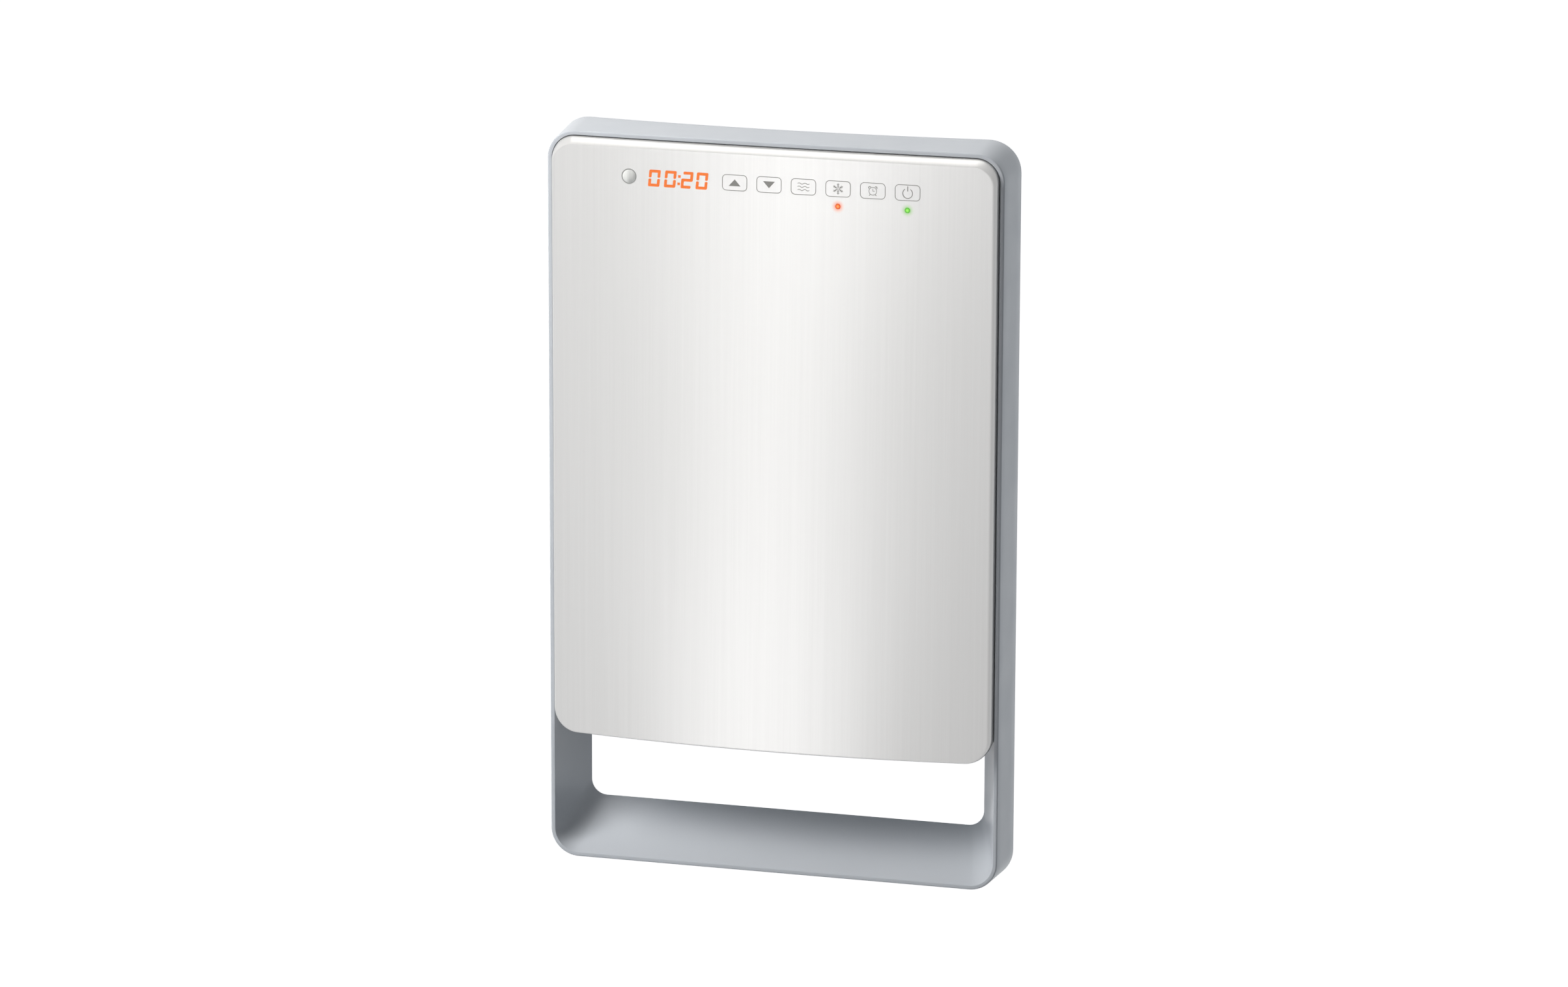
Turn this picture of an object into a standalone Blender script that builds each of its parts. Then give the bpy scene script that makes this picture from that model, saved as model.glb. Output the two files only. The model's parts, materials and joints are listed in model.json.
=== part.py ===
"""Wall-hung bathroom fan heater with a towel rail.

A moulded ring carries the towel rail and surrounds a bowed, brushed front panel. Behind the
panel are the touch controls, a crossflow fan on a shaded-pole motor, and a ceramic heating
element that blows down through a louvred outlet. Lengths are in metres, X points right, Y
points into the wall and Z up. Depths are measured from the wall, heights from the bottom of
the ring's front rim. The origin is the middle of the wall bracket's back face.
"""

import math

import bmesh
import bpy
from mathutils import Matrix, Vector

# Clearances
GAP = 0.0003
OVERRUN = 0.003

# Towel frame
FRAME_WIDTH = 0.276
FRAME_HEIGHT = 0.446
FRAME_DEPTH = 0.033
FRAME_DRAFT = 0.0024
FRAME_CORNER = 0.017
FRAME_WALL = 0.0025
RIM_DEPTH = 0.097
RIM_LAND = 0.0024
RIM_ROUND = 0.0008
LAND_ROUND = 0.0004
THROAT_NARROWING = 0.0135
RAIL_RISE = 0.0274
THROAT_CORNER = 0.0095
THROAT_SCOOP_SHARE = 0.35
TOP_FRONT_BOW = 0.0022
TOP_REAR_BOW = 0.0086
POCKET_START_SHARE = 0.45
RIB_THICKNESS = 0.0018
RAIL_RIB_SHARES = (-0.66, -0.33, 0.0, 0.33, 0.66)
SIDE_RIB_SHARES = (0.28, 0.46, 0.64, 0.82)
TOP_RIB_SHARES = (-0.5, 0.0, 0.5)
LUG_SETBACK = 0.011
LUG_THICKNESS = 0.003
LUG_WIDTH = 0.014

# Front panel
PANEL_BOTTOM = 0.0799
PANEL_PROUD = 0.0055
PANEL_TOP_BULGE = 0.0015
PANEL_BOTTOM_BULGE = 0.0104
PANEL_SHEET = 0.0008
PANEL_BEND = 0.0024
PANEL_BEND_DEPTH = 0.0055
PANEL_HEM = 0.001
PANEL_HEM_RETURN = 0.005
PANEL_REVEAL = 0.001
PANEL_EDGE_CLEAR = 0.0005
PANEL_BOTTOM_CORNER = 0.0155

# Front carrier, the moulding behind the panel
CARRIER_WALL = 0.002
CARRIER_BOSS = 0.008
SKIRT_RISE = 0.0065
SKIRT_SHOULDER = 0.003

# Rear housing
HOUSING_BACK = 0.006
HOUSING_RISE = 0.0031
HOUSING_CLEAR = 0.0024
HOUSING_WALL = 0.0025
HOUSING_CORNER = 0.01
HOUSING_ROUND = 0.008
HOUSING_DRAFT = 0.0008
SCREW_INSET = 0.0087
SCREW_RISE = 0.013
SCREW_BOSS = 0.01
BOSS_FLOOR = 0.003
POST_DIAMETER = 0.007

# Screws
SCREW_HEAD = 0.0064
SCREW_HEAD_HEIGHT = 0.0022
SCREW_CROWN_SHARE = 0.75
SCREW_SHANK = 0.003
FRAME_SCREW_LENGTH = 0.016
BOARD_SCREW_LENGTH = 0.006

# Grilles
INTAKE_LENGTH = 0.17
INTAKE_WIDTH = 0.036
INTAKE_DEPTH = 0.036
INTAKE_SLOTS = 18
GRILLE_RIM = 0.003
GRILLE_FLANGE = 0.0015
SLOT_WIDTH = 0.005
OUTLET_BLADES = 4
OUTLET_BLADE = 0.011
OUTLET_BLADE_THICKNESS = 0.0014
OUTLET_BLADE_TURN = math.radians(28)
OUTLET_BLADE_SHARE = 0.94
OUTLET_HEIGHT = 0.009
OUTLET_STAYS = 2

# Wall bracket and bumpers
BRACKET_DROP = 0.0677
BRACKET_LENGTH = 0.17
BRACKET_WIDTH = 0.05
BRACKET_SHEET = 0.0015
BRACKET_CORNER = 0.004
KEYHOLE_SPREAD = 0.12
KEYHOLE_HEAD = 0.009
KEYHOLE_NECK = 0.0045
KEYHOLE_DROP = 0.009
HOOK_SPREAD = 0.15
HOOK_WIDTH = 0.012
HOOK_RISE = 0.007
HOOK_ENTRY = 0.0015
BUMPER_DIAMETER = 0.014
BUMPER_STEM = 0.006
BUMPER_INSET = 0.022

# Controls
KEY_ROW_DROP = 0.0206
KEY_COUNT = 6
KEY_GAP = 0.009
KEY_INSET = 0.018
INDICATOR_DROP = 0.0104
LENS_INSET = 0.0138
LENS_DIAMETER = 0.0088
LENS_DOME = 0.0017
LENS_FLANGE = 0.0014
LENS_WALL = 0.001
SENSOR_DIAMETER = 0.005
SENSOR_HEIGHT = 0.003
DISPLAY_GAP = 0.0036
DISPLAY_LENGTH = 0.042
DISPLAY_HEIGHT = 0.0135
BOARD_SETBACK = 0.003
BOARD_THICKNESS = 0.0016
BOARD_SIDE_CLEAR = 0.004
BOARD_HEIGHT = 0.0265
BOARD_DROP = 0.0045
BOARD_SCREW_INSET = 0.0035
PAD_DIAMETER = 0.008
INDICATOR_DIAMETER = 0.003
INDICATOR_BASE = 0.005
INDICATOR_BASE_HEIGHT = 0.003

# Fan
FAN_RISE = 0.153
FAN_RADIUS = 0.029
FAN_SIDE_ROOM = 0.0142
MOTOR_SIDE_ROOM = 0.0093
BLADE_COUNT = 16
BLADE_WIDTH = 0.0065
BLADE_THICKNESS = 0.001
BLADE_LEAN = math.radians(20)
DISC_THICKNESS = 0.0015
DISC_LIP = 0.003
MIDDLE_DISC_SHARES = (0.0,)
END_CLEAR = 0.0025
PLATE_SHEET = 0.0015
PLATE_EDGE = 0.0032
SCROLL_SHEET = 0.001
SCROLL_START_CLEAR = 0.0025
SCROLL_BACK_CLEAR = 0.005
SCROLL_START_ANGLE = math.radians(-25)
TONGUE_CLEAR = 0.003
TONGUE_START_ANGLE = math.radians(-80)
TONGUE_END_ANGLE = math.radians(-120)
SHAFT_DIAMETER = 0.004
HUB_NECK = 0.008
HUB_FLANGE = 0.0105
HUB_FLANGE_THICKNESS = 0.0025
BUSH_RADIUS = 0.0055
BUSH_LENGTH = 0.006
GROMMET_RADIUS = 0.011
GROMMET_NECK = 0.0085
GROMMET_FLANGE = 0.0022

# Motor
STACK_THICKNESS = 0.018
STACK_WIDTH = 0.044
STACK_TOP = 0.018
STACK_DROP = 0.046
STACK_LIMB = 0.012
STACK_SIDE_LIMB = 0.009
STACK_CHAMFER = 0.003
POLE_RISE = 0.016
ROTOR_RADIUS = 0.0114
ROTOR_OVERHANG = 0.001
COIL_BUILD = 0.0065
COIL_CHEEK = 0.0015
STRAP_THICKNESS = 0.003
STRAP_HALF_WIDTH = 0.006
STRAP_STANDOFF = 0.008
STRAP_FOOT = 0.006
STRAP_BOSS_RADIUS = 0.006
MOTOR_SCREW_INSET = 0.005

# Heating element
ELEMENT_WIDTH = 0.052
ELEMENT_HEIGHT = 0.024
ELEMENT_WALL = 0.003
ELEMENT_LEDGE = 0.0015
ELEMENT_CLEAR = 0.0078
FIN_COUNT = 16
FIN_THICKNESS = 0.0009
CORE_BARS = 2
CORE_BAR_WIDTH = 0.006
CORE_INSET = 0.004
TERMINAL_WIDTH = 0.0063
TERMINAL_THICKNESS = 0.0008
TERMINAL_RISE = 0.009
TERMINAL_EYE_SHARE = 0.6
CUTOUT_RADIUS = 0.008
CUTOUT_HEIGHT = 0.006
CUTOUT_CAP_SHARE = 0.85
CUTOUT_TAG_LENGTH = 0.008
DUCT_SHEET = 0.0008

# Power electronics
POWER_PLACE = -0.03
POWER_ROOM_SHARE = 0.31
POWER_LENGTH = 0.11
POWER_RISE = 0.058
POWER_STANDOFF = 0.008
POWER_POST_INSET = 0.006
RELAY_LENGTH = 0.019
RELAY_WIDTH = 0.0155
RELAY_HEIGHT = 0.0155
RELAY_PLACES_SHARE = (0.12, 0.36)
CAPACITOR_LENGTH = 0.026
CAPACITOR_WIDTH = 0.01
CAPACITOR_HEIGHT = 0.019
CAPACITOR_PLACE_SHARE = -0.28
CASE_ROUND = 0.001
BLOCK_INSET = 0.0422
BLOCK_LENGTH = 0.036
BLOCK_WIDTH = 0.02
BLOCK_HEIGHT = 0.017
BLOCK_POLES = 3
BLOCK_ENTRY = 0.006
INLET_INSET = 0.0272
INLET_DEPTH = 0.022
INLET_NECK = 0.006
INLET_FLANGE = 0.0085
INLET_BORE = 0.0036
INLET_FLANGE_THICKNESS = 0.002

# Smoothness
ARC_STEPS = 4
RUN_STEPS = 7
BEND_STEPS = 3
THROAT_STEPS = 4
FACE_ROWS = 3
SPIRAL_STEPS = 9
ROUND_SIDES = 16
FAN_SIDES = 24
SMALL_SIDES = 12
SCREW_SIDES = 8
SHARP_ANGLE = math.radians(32)
ROUND_PROFILE = 0.5

# Points inside the runs of an outline, across and upright
BOWED = (RUN_STEPS, FACE_ROWS - 1)
PLAIN = (0, 0)

# Sizes that follow
HOUSING_HALF = FRAME_WIDTH / 2 - RIM_LAND - THROAT_NARROWING - HOUSING_CLEAR
HOUSING_TOP = FRAME_HEIGHT - RIM_LAND - THROAT_NARROWING - HOUSING_CLEAR
HOUSING_BOTTOM = PANEL_BOTTOM + HOUSING_RISE
LUG_FRONT = RIM_DEPTH - LUG_SETBACK
HOUSING_FRONT = LUG_FRONT - LUG_THICKNESS - GAP
HOUSING_FLOOR = HOUSING_BACK + HOUSING_WALL
SCREW_X = HOUSING_HALF - SCREW_INSET
SCREW_HEIGHTS = (HOUSING_BOTTOM + SCREW_RISE, HOUSING_TOP - SCREW_RISE)
PANEL_HALF = FRAME_WIDTH / 2 - RIM_LAND - PANEL_REVEAL
PANEL_TOP = FRAME_HEIGHT - RIM_LAND - PANEL_REVEAL
PANEL_TOP_CORNER = FRAME_CORNER - RIM_LAND - PANEL_REVEAL
BRACKET_HEIGHT = HOUSING_TOP - BRACKET_DROP
KEY_ROW_HEIGHT = PANEL_TOP - KEY_ROW_DROP
BOARD_FACE = RIM_DEPTH - BOARD_SETBACK
BOARD_LENGTH = (SCREW_X - LUG_WIDTH / 2 - BOARD_SIDE_CLEAR) * 2
LENS_PLACE = LENS_INSET - BOARD_LENGTH / 2
DISPLAY_START = LENS_PLACE + LENS_DIAMETER / 2 + LENS_FLANGE + DISPLAY_GAP
DISPLAY_PLACE = DISPLAY_START + DISPLAY_LENGTH / 2
FIRST_KEY_PLACE = DISPLAY_START + DISPLAY_LENGTH + KEY_GAP + PAD_DIAMETER / 2
LAST_KEY_PLACE = BOARD_LENGTH / 2 - KEY_INSET
KEY_PITCH = (LAST_KEY_PLACE - FIRST_KEY_PLACE) / (KEY_COUNT - 1)
SCROLL_START_RADIUS = FAN_RADIUS + SCROLL_START_CLEAR
SCROLL_BACK_RADIUS = FAN_RADIUS + SCROLL_BACK_CLEAR
TONGUE_RADIUS = FAN_RADIUS + TONGUE_CLEAR
BLADE_ROOT = FAN_RADIUS - BLADE_WIDTH
DISC_BORE = BLADE_ROOT - DISC_LIP
PLATE_RADIUS = SCROLL_BACK_RADIUS + SCROLL_SHEET + PLATE_EDGE
MOTOR_HALF_ROOM = STRAP_STANDOFF + STRAP_THICKNESS + GAP
MOTOR_LENGTH = STACK_THICKNESS + MOTOR_HALF_ROOM * 2 + GAP + SHAFT_DIAMETER / 2
HOUSING_INNER = HOUSING_HALF - HOUSING_WALL
PLATE_SPREAD = HOUSING_INNER * 2 - FAN_SIDE_ROOM - MOTOR_LENGTH - MOTOR_SIDE_ROOM
PLATE_OUTER = PLATE_SPREAD / 2
PLATE_INNER = PLATE_OUTER - PLATE_SHEET
FAN_LENGTH = (PLATE_INNER - END_CLEAR) * 2
FAN_PLACE = FAN_SIDE_ROOM + PLATE_OUTER - HOUSING_INNER
FAN_DEPTH = HOUSING_FLOOR + GAP + PLATE_RADIUS
FAN_HEIGHT = HOUSING_BOTTOM + FAN_RISE
POWER_ROOM = HOUSING_TOP - HOUSING_WALL - FAN_HEIGHT - PLATE_RADIUS - POWER_RISE
POWER_FOOT = FAN_HEIGHT + PLATE_RADIUS + POWER_ROOM * POWER_ROOM_SHARE
POWER_HEIGHT = POWER_FOOT + POWER_RISE / 2
BLOCK_PLACE = HOUSING_INNER - BLOCK_INSET
INLET_PLACE = HOUSING_INNER - INLET_INSET
ELEMENT_DROP = PLATE_RADIUS + ELEMENT_CLEAR
ELEMENT_TOP = FAN_HEIGHT - ELEMENT_DROP
ELEMENT_LENGTH = PLATE_OUTER * 2
ELEMENT_REAR = FAN_DEPTH - SCROLL_BACK_RADIUS - (SCROLL_SHEET + ELEMENT_WALL) / 2
ELEMENT_FRONT = ELEMENT_REAR + ELEMENT_WIDTH
ELEMENT_DEPTH = (ELEMENT_REAR + ELEMENT_FRONT) / 2
DUCT_LENGTH = ELEMENT_LENGTH - ELEMENT_WALL * 2
DUCT_WIDTH = ELEMENT_WIDTH - ELEMENT_WALL * 2
STACK_NEAR = PLATE_OUTER + GAP + MOTOR_HALF_ROOM
STACK_FAR = STACK_NEAR + STACK_THICKNESS
STACK_MIDDLE = (STACK_NEAR + STACK_FAR) / 2
SHAFT_BORE = SHAFT_DIAMETER / 2 + GAP


def clear_scene():
    """Start from an empty file."""
    for found in list(bpy.data.objects):
        bpy.data.objects.remove(found, do_unlink=True)


def material(name, colour, roughness, metallic=0.0, glow=0.0):
    """One Principled finish."""
    made = bpy.data.materials.new(name)
    made.use_nodes = True
    shader = made.node_tree.nodes["Principled BSDF"]
    shader.inputs["Base Color"].default_value = (*colour, 1.0)
    shader.inputs["Roughness"].default_value = roughness
    shader.inputs["Metallic"].default_value = metallic
    shader.inputs["Emission Color"].default_value = (*colour, 1.0)
    shader.inputs["Emission Strength"].default_value = glow
    made.diffuse_color = (*colour, 1.0)
    return made


def datum(name, x, depth, height, parent=None):
    """An empty that a group of pieces hangs on."""
    empty = bpy.data.objects.new(name, None)
    empty.location = (x, -depth, height)
    empty.parent = parent
    bpy.context.scene.collection.objects.link(empty)
    return empty


def place(name, bm, finish, parent, location=(0, 0, 0), rotation=(0, 0, 0)):
    """Turn a bmesh into a named piece on its datum."""
    bmesh.ops.recalc_face_normals(bm, faces=bm.faces)
    mesh = bpy.data.meshes.new(name)
    bm.to_mesh(mesh)
    bm.free()
    mesh.materials.append(finish)
    mesh.shade_smooth()
    mesh.set_sharp_from_angle(angle=SHARP_ANGLE)
    made = bpy.data.objects.new(name, mesh)
    made.location = location
    made.rotation_euler = rotation
    made.parent = parent
    bpy.context.scene.collection.objects.link(made)
    return made


def shape(target, name, bm, operation):
    """Join a helper shape to a piece, or cut it out of it."""
    bmesh.ops.recalc_face_normals(bm, faces=bm.faces)
    mesh = bpy.data.meshes.new(name)
    bm.to_mesh(mesh)
    bm.free()
    helper = bpy.data.objects.new(name, mesh)
    helper.location = target.location
    helper.rotation_euler = target.rotation_euler
    helper.parent = target.parent
    helper.hide_render = True
    helper.display_type = "WIRE"
    bpy.context.scene.collection.objects.link(helper)
    modifier = target.modifiers.new(name, "BOOLEAN")
    modifier.object = helper
    modifier.operation = operation
    return helper


def join(target, name, bm):
    return shape(target, name, bm, "UNION")


def cut(target, name, bm):
    return shape(target, name, bm, "DIFFERENCE")


def add_box(bm, low, high, turn=None):
    """A box between two corners, turned about its own middle."""
    low, high = Vector(low), Vector(high)
    spread = Matrix.Diagonal((*(high - low), 1))
    turn = turn or Matrix.Identity(4)
    bmesh.ops.create_cube(bm, size=1, matrix=Matrix.Translation((low + high) / 2) @ turn @ spread)


def add_rod(bm, start, end, radius, sides=SMALL_SIDES):
    """A round bar from one point to another."""
    start, end = Vector(start), Vector(end)
    along = end - start
    aim = along.to_track_quat("Z", "Y").to_matrix().to_4x4()
    bmesh.ops.create_cone(
        bm,
        cap_ends=True,
        segments=sides,
        radius1=radius,
        radius2=radius,
        depth=along.length,
        matrix=Matrix.Translation((start + end) / 2) @ aim,
    )


def boxes(corners):
    bm = bmesh.new()
    for low, high in corners:
        add_box(bm, low, high)
    return bm


def rods(ends, radius, sides=SMALL_SIDES):
    bm = bmesh.new()
    for start, end in ends:
        add_rod(bm, start, end, radius, sides)
    return bm


def turned(profile, axis, sides=ROUND_SIDES):
    """Spin an (along, radius) profile about an axis through the datum."""
    bm = bmesh.new()
    across = axis.orthogonal().normalized()
    points = [bm.verts.new(axis * along + across * radius) for along, radius in profile]
    edges = [bm.edges.new(pair) for pair in zip(points, points[1:])]
    bmesh.ops.spin(
        bm,
        geom=points + edges,
        cent=(0, 0, 0),
        axis=axis,
        angle=math.tau,
        steps=sides,
        use_merge=True,
    )
    bmesh.ops.remove_doubles(bm, verts=bm.verts, dist=GAP / 100)
    return bm


def ring_profile(start, end, bore, radius):
    """Profile of a plain ring, closed on itself."""
    return [(start, bore), (start, radius), (end, radius), (end, bore), (start, bore)]


def prism(points, start, end):
    """Extrude an outline in Y and Z along X."""
    bm = bmesh.new()
    base = bm.faces.new([bm.verts.new((start, y, z)) for y, z in points])
    made = bmesh.ops.extrude_face_region(bm, geom=[base])["geom"]
    rim = [part for part in made if isinstance(part, bmesh.types.BMVert)]
    bmesh.ops.translate(bm, verts=rim, vec=(end - start, 0, 0))
    return bm


def next_loop(bm, current, points):
    """Extrude a closed loop of vertices and put the new one on the given points."""
    edges = [bm.edges.get((current[i - 1], current[i])) for i in range(len(current))]
    made = bmesh.ops.extrude_edge_only(bm, edges=edges)["geom"]
    rank = {vert: i for i, vert in enumerate(current)}
    fresh = [None] * len(current)
    for vert in (part for part in made if isinstance(part, bmesh.types.BMVert)):
        source = next(rank[e.other_vert(vert)] for e in vert.link_edges if e.other_vert(vert) in rank)
        fresh[source] = vert
    for vert, point in zip(fresh, points):
        vert.co = point
    return fresh


def loft(bm, loops):
    """Skin through loops of points, returning the first and the last loop's vertices."""
    first = [bm.verts.new(point) for point in loops[0]]
    for i in range(len(first)):
        bm.edges.new((first[i - 1], first[i]))
    current = first
    for points in loops[1:]:
        current = next_loop(bm, current, points)
    return first, current


def closed_ring(loops):
    """A ring whose section is closed by coming back to its first loop."""
    bm = bmesh.new()
    loft(bm, loops + loops[:1])
    bmesh.ops.remove_doubles(bm, verts=bm.verts, dist=GAP / 100)
    return bm


def capped(loops):
    """A body with a flat cap at each end."""
    bm = bmesh.new()
    first, last = loft(bm, loops)
    bm.faces.new(first)
    bm.faces.new(last)
    return bm


def quarter(centre_x, centre_z, radius, start):
    """A quarter turn, clockwise seen from the front."""
    angles = [start - math.pi / 2 * i / ARC_STEPS for i in range(ARC_STEPS + 1)]
    return [(centre_x + radius * math.cos(a), centre_z + radius * math.sin(a)) for a in angles]


def between(first, second, steps):
    """Evenly spaced points inside a straight run."""
    shares = [i / (steps + 1) for i in range(1, steps + 1)]
    return [tuple(a + (b - a) * s for a, b in zip(first, second)) for s in shares]


def outline(half, bottom, top, top_radius, bottom_radius, steps=BOWED):
    """Rounded rectangle, clockwise from its left side's upper end, with points inside its runs."""
    across, upright = steps
    left_top = quarter(-half + top_radius, top - top_radius, top_radius, math.pi)
    right_top = quarter(half - top_radius, top - top_radius, top_radius, math.pi / 2)
    right_bottom = quarter(half - bottom_radius, bottom + bottom_radius, bottom_radius, 0)
    left_bottom = quarter(-half + bottom_radius, bottom + bottom_radius, bottom_radius, -math.pi / 2)
    upper = left_top + between(left_top[-1], right_top[0], across) + right_top
    lower = right_bottom + between(right_bottom[-1], left_bottom[0], across) + left_bottom
    right_side = between(right_top[-1], right_bottom[0], upright)
    return upper + right_side + lower + between(left_bottom[-1], left_top[0], upright)


def at_depths(points, depths):
    return [Vector((x, -depth, z)) for (x, z), depth in zip(points, depths)]


def level(points, depth):
    return at_depths(points, [depth] * len(points))


def throat_share(share):
    """How much of its narrowing the throat has at a share of the frame's depth."""
    return share * (1 - THROAT_SCOOP_SHARE + THROAT_SCOOP_SHARE * share)


def throat_share_where(narrowed):
    """The share of the frame's depth at which the throat has narrowed so much."""
    start = 1 - THROAT_SCOOP_SHARE
    root = math.sqrt(start * start + 4 * THROAT_SCOOP_SHARE * narrowed / THROAT_NARROWING)
    return (root - start) / (2 * THROAT_SCOOP_SHARE)


def top_bow_shares():
    """1 at the middle of the top edge, falling to 0 at the sides and all round below."""
    half = FRAME_WIDTH / 2
    points = outline(half, 0, FRAME_HEIGHT, FRAME_CORNER, FRAME_CORNER)
    return [max(0.0, 1 - (x / half) ** 2) if z > FRAME_HEIGHT / 2 else 0.0 for x, z in points]


def frame_depths(share):
    """Depth of each outline point at a share of the way from the rim to the rear edge."""
    depths = []
    for bow in top_bow_shares():
        front = RIM_DEPTH + TOP_FRONT_BOW * bow
        rear = RIM_DEPTH - FRAME_DEPTH + TOP_REAR_BOW * bow
        depths.append(front + (rear - front) * share)
    return depths


def outer_loop(share, inset=0.0):
    """Frame's outer face, widening to the rear."""
    grow = FRAME_DRAFT * share - inset
    radius = FRAME_CORNER + grow
    points = outline(FRAME_WIDTH / 2 + grow, -grow, FRAME_HEIGHT + grow, radius, radius)
    return at_depths(points, frame_depths(share))


def throat_half(share):
    return FRAME_WIDTH / 2 - RIM_LAND - THROAT_NARROWING * throat_share(share)


def throat_loop(share, wall=0.0):
    """Frame's flared inner face, narrowing to the rear and rising over the rail."""
    narrowed = throat_share(share)
    front_radius = FRAME_CORNER - RIM_LAND
    radius = front_radius + (THROAT_CORNER - front_radius) * narrowed + wall
    bottom = RIM_LAND + RAIL_RISE * narrowed - wall
    top = FRAME_HEIGHT - RIM_LAND - THROAT_NARROWING * narrowed + wall
    points = outline(throat_half(share) + wall, bottom, top, radius, radius)
    return at_depths(points, frame_depths(share))


def frame_loops():
    """Section of the frame: outer face, rounded rim, flared throat."""
    round_share = RIM_ROUND / FRAME_DEPTH
    eased = 1 - math.sqrt(0.5)
    loops = [outer_loop(1), outer_loop(0.5), outer_loop(round_share)]
    loops.append(outer_loop(round_share * eased, RIM_ROUND * eased))
    loops.append(outer_loop(0, RIM_ROUND))
    loops.append(outer_loop(0, RIM_LAND - LAND_ROUND))
    loops.append(throat_loop(LAND_ROUND / FRAME_DEPTH))
    loops += [throat_loop(i / THROAT_STEPS) for i in range(1, THROAT_STEPS + 1)]
    return loops


def rib_slabs():
    """Slabs that stay uncut in the hollow back of the frame, as its ribs."""
    half = RIB_THICKNESS / 2
    front = -RIM_DEPTH - TOP_FRONT_BOW
    rear = -RIM_DEPTH + FRAME_DEPTH + OVERRUN * 2
    inside = FRAME_WIDTH / 2 - RIM_LAND - THROAT_NARROWING - OVERRUN
    outside = FRAME_WIDTH / 2 + FRAME_DRAFT + OVERRUN
    rail_top = RIM_LAND + RAIL_RISE + OVERRUN
    low = -FRAME_DRAFT - OVERRUN
    high = FRAME_HEIGHT + FRAME_DRAFT + OVERRUN
    top_low = FRAME_HEIGHT - RIM_LAND - THROAT_NARROWING - OVERRUN
    slabs = []
    for share in RAIL_RIB_SHARES:
        x = FRAME_WIDTH / 2 * share
        slabs.append(((x - half, front, low), (x + half, rear, rail_top)))
    for share in TOP_RIB_SHARES:
        x = FRAME_WIDTH / 2 * share
        slabs.append(((x - half, front, top_low), (x + half, rear, high)))
    for share in SIDE_RIB_SHARES:
        z = FRAME_HEIGHT * share
        slabs.append(((-outside, front, z - half), (-inside, rear, z + half)))
        slabs.append(((inside, front, z - half), (outside, rear, z + half)))
    return boxes(slabs)


def towel_frame(root, finish):
    """Hollow-backed moulding with its ribs and four fixing lugs."""
    frame = place("towel_frame", closed_ring(frame_loops()), finish, root)
    past = 1 + OVERRUN / FRAME_DEPTH
    middle = (POCKET_START_SHARE + past) / 2
    pocket = [outer_loop(POCKET_START_SHARE, FRAME_WALL), outer_loop(past, FRAME_WALL)]
    pocket += [throat_loop(share, FRAME_WALL) for share in (past, middle, POCKET_START_SHARE)]
    hollow = cut(frame, "frame_hollow", closed_ring(pocket))
    cut(hollow, "frame_ribs", rib_slabs())
    reach = throat_half(LUG_SETBACK / FRAME_DEPTH) + FRAME_WALL / 2
    start = SCREW_X - LUG_WIDTH / 2
    lugs = []
    bores = []
    for z in SCREW_HEIGHTS:
        for side in (-1, 1):
            ends = sorted((side * start, side * reach))
            low = (ends[0], -LUG_FRONT, z - LUG_WIDTH / 2)
            high = (ends[1], -LUG_FRONT + LUG_THICKNESS, z + LUG_WIDTH / 2)
            lugs.append((low, high))
            x = side * SCREW_X
            bores.append(((x, -LUG_FRONT - OVERRUN, z), (x, -HOUSING_FRONT + OVERRUN, z)))
    join(frame, "frame_lugs", boxes(lugs))
    cut(frame, "frame_lug_bores", rods(bores, SCREW_SHANK / 2 + GAP))
    return frame


def panel_depth(x, z):
    """Depth of the panel's bowed front face, a ruled surface between two arcs."""
    share = (PANEL_TOP - z) / (PANEL_TOP - PANEL_BOTTOM)
    bulge = PANEL_TOP_BULGE + (PANEL_BOTTOM_BULGE - PANEL_TOP_BULGE) * share
    return RIM_DEPTH + PANEL_PROUD + bulge * (1 - (x / PANEL_HALF) ** 2)


def panel_loop(turn):
    """Panel's edge, part of the way round its bend: 0 on the flange, a quarter turn on the face."""
    back = 1 - math.cos(turn)
    half = PANEL_HALF - PANEL_BEND * back
    bottom = PANEL_BOTTOM + PANEL_HEM * back
    top = PANEL_TOP - PANEL_BEND * back
    points = outline(
        half,
        bottom,
        top,
        PANEL_TOP_CORNER - PANEL_BEND * back,
        PANEL_BOTTOM_CORNER - PANEL_BEND * back,
    )
    drops = [deep * (1 - math.sin(turn)) for deep in bend_depths()]
    return at_depths(points, [panel_depth(x, z) - drop for (x, z), drop in zip(points, drops)])


def hem_shares():
    """0 on the panel's top and sides, 1 along its bottom edge, easing round the lower corners."""
    side = [0.0] * BOWED[1]
    upper = [0.0] * (2 * (ARC_STEPS + 1) + BOWED[0])
    corner = [math.sin(math.pi / 2 * i / ARC_STEPS) for i in range(ARC_STEPS + 1)]
    return upper + side + corner + [1.0] * BOWED[0] + corner[::-1] + side


def bend_depths():
    return [PANEL_BEND_DEPTH + (PANEL_HEM - PANEL_BEND_DEPTH) * share for share in hem_shares()]


def flange_edge():
    """Free edge of the panel's flange: just clear of the throat, and a short hem below."""
    reached = throat_share_where(PANEL_REVEAL - PANEL_EDGE_CLEAR)
    root = panel_loop(0)
    points = []
    for vertex, depth, share in zip(root, frame_depths(reached), hem_shares()):
        hem = -vertex.y - PANEL_HEM_RETURN
        points.append(Vector((vertex.x, -(depth + (hem - depth) * share), vertex.z)))
    return points


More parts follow.
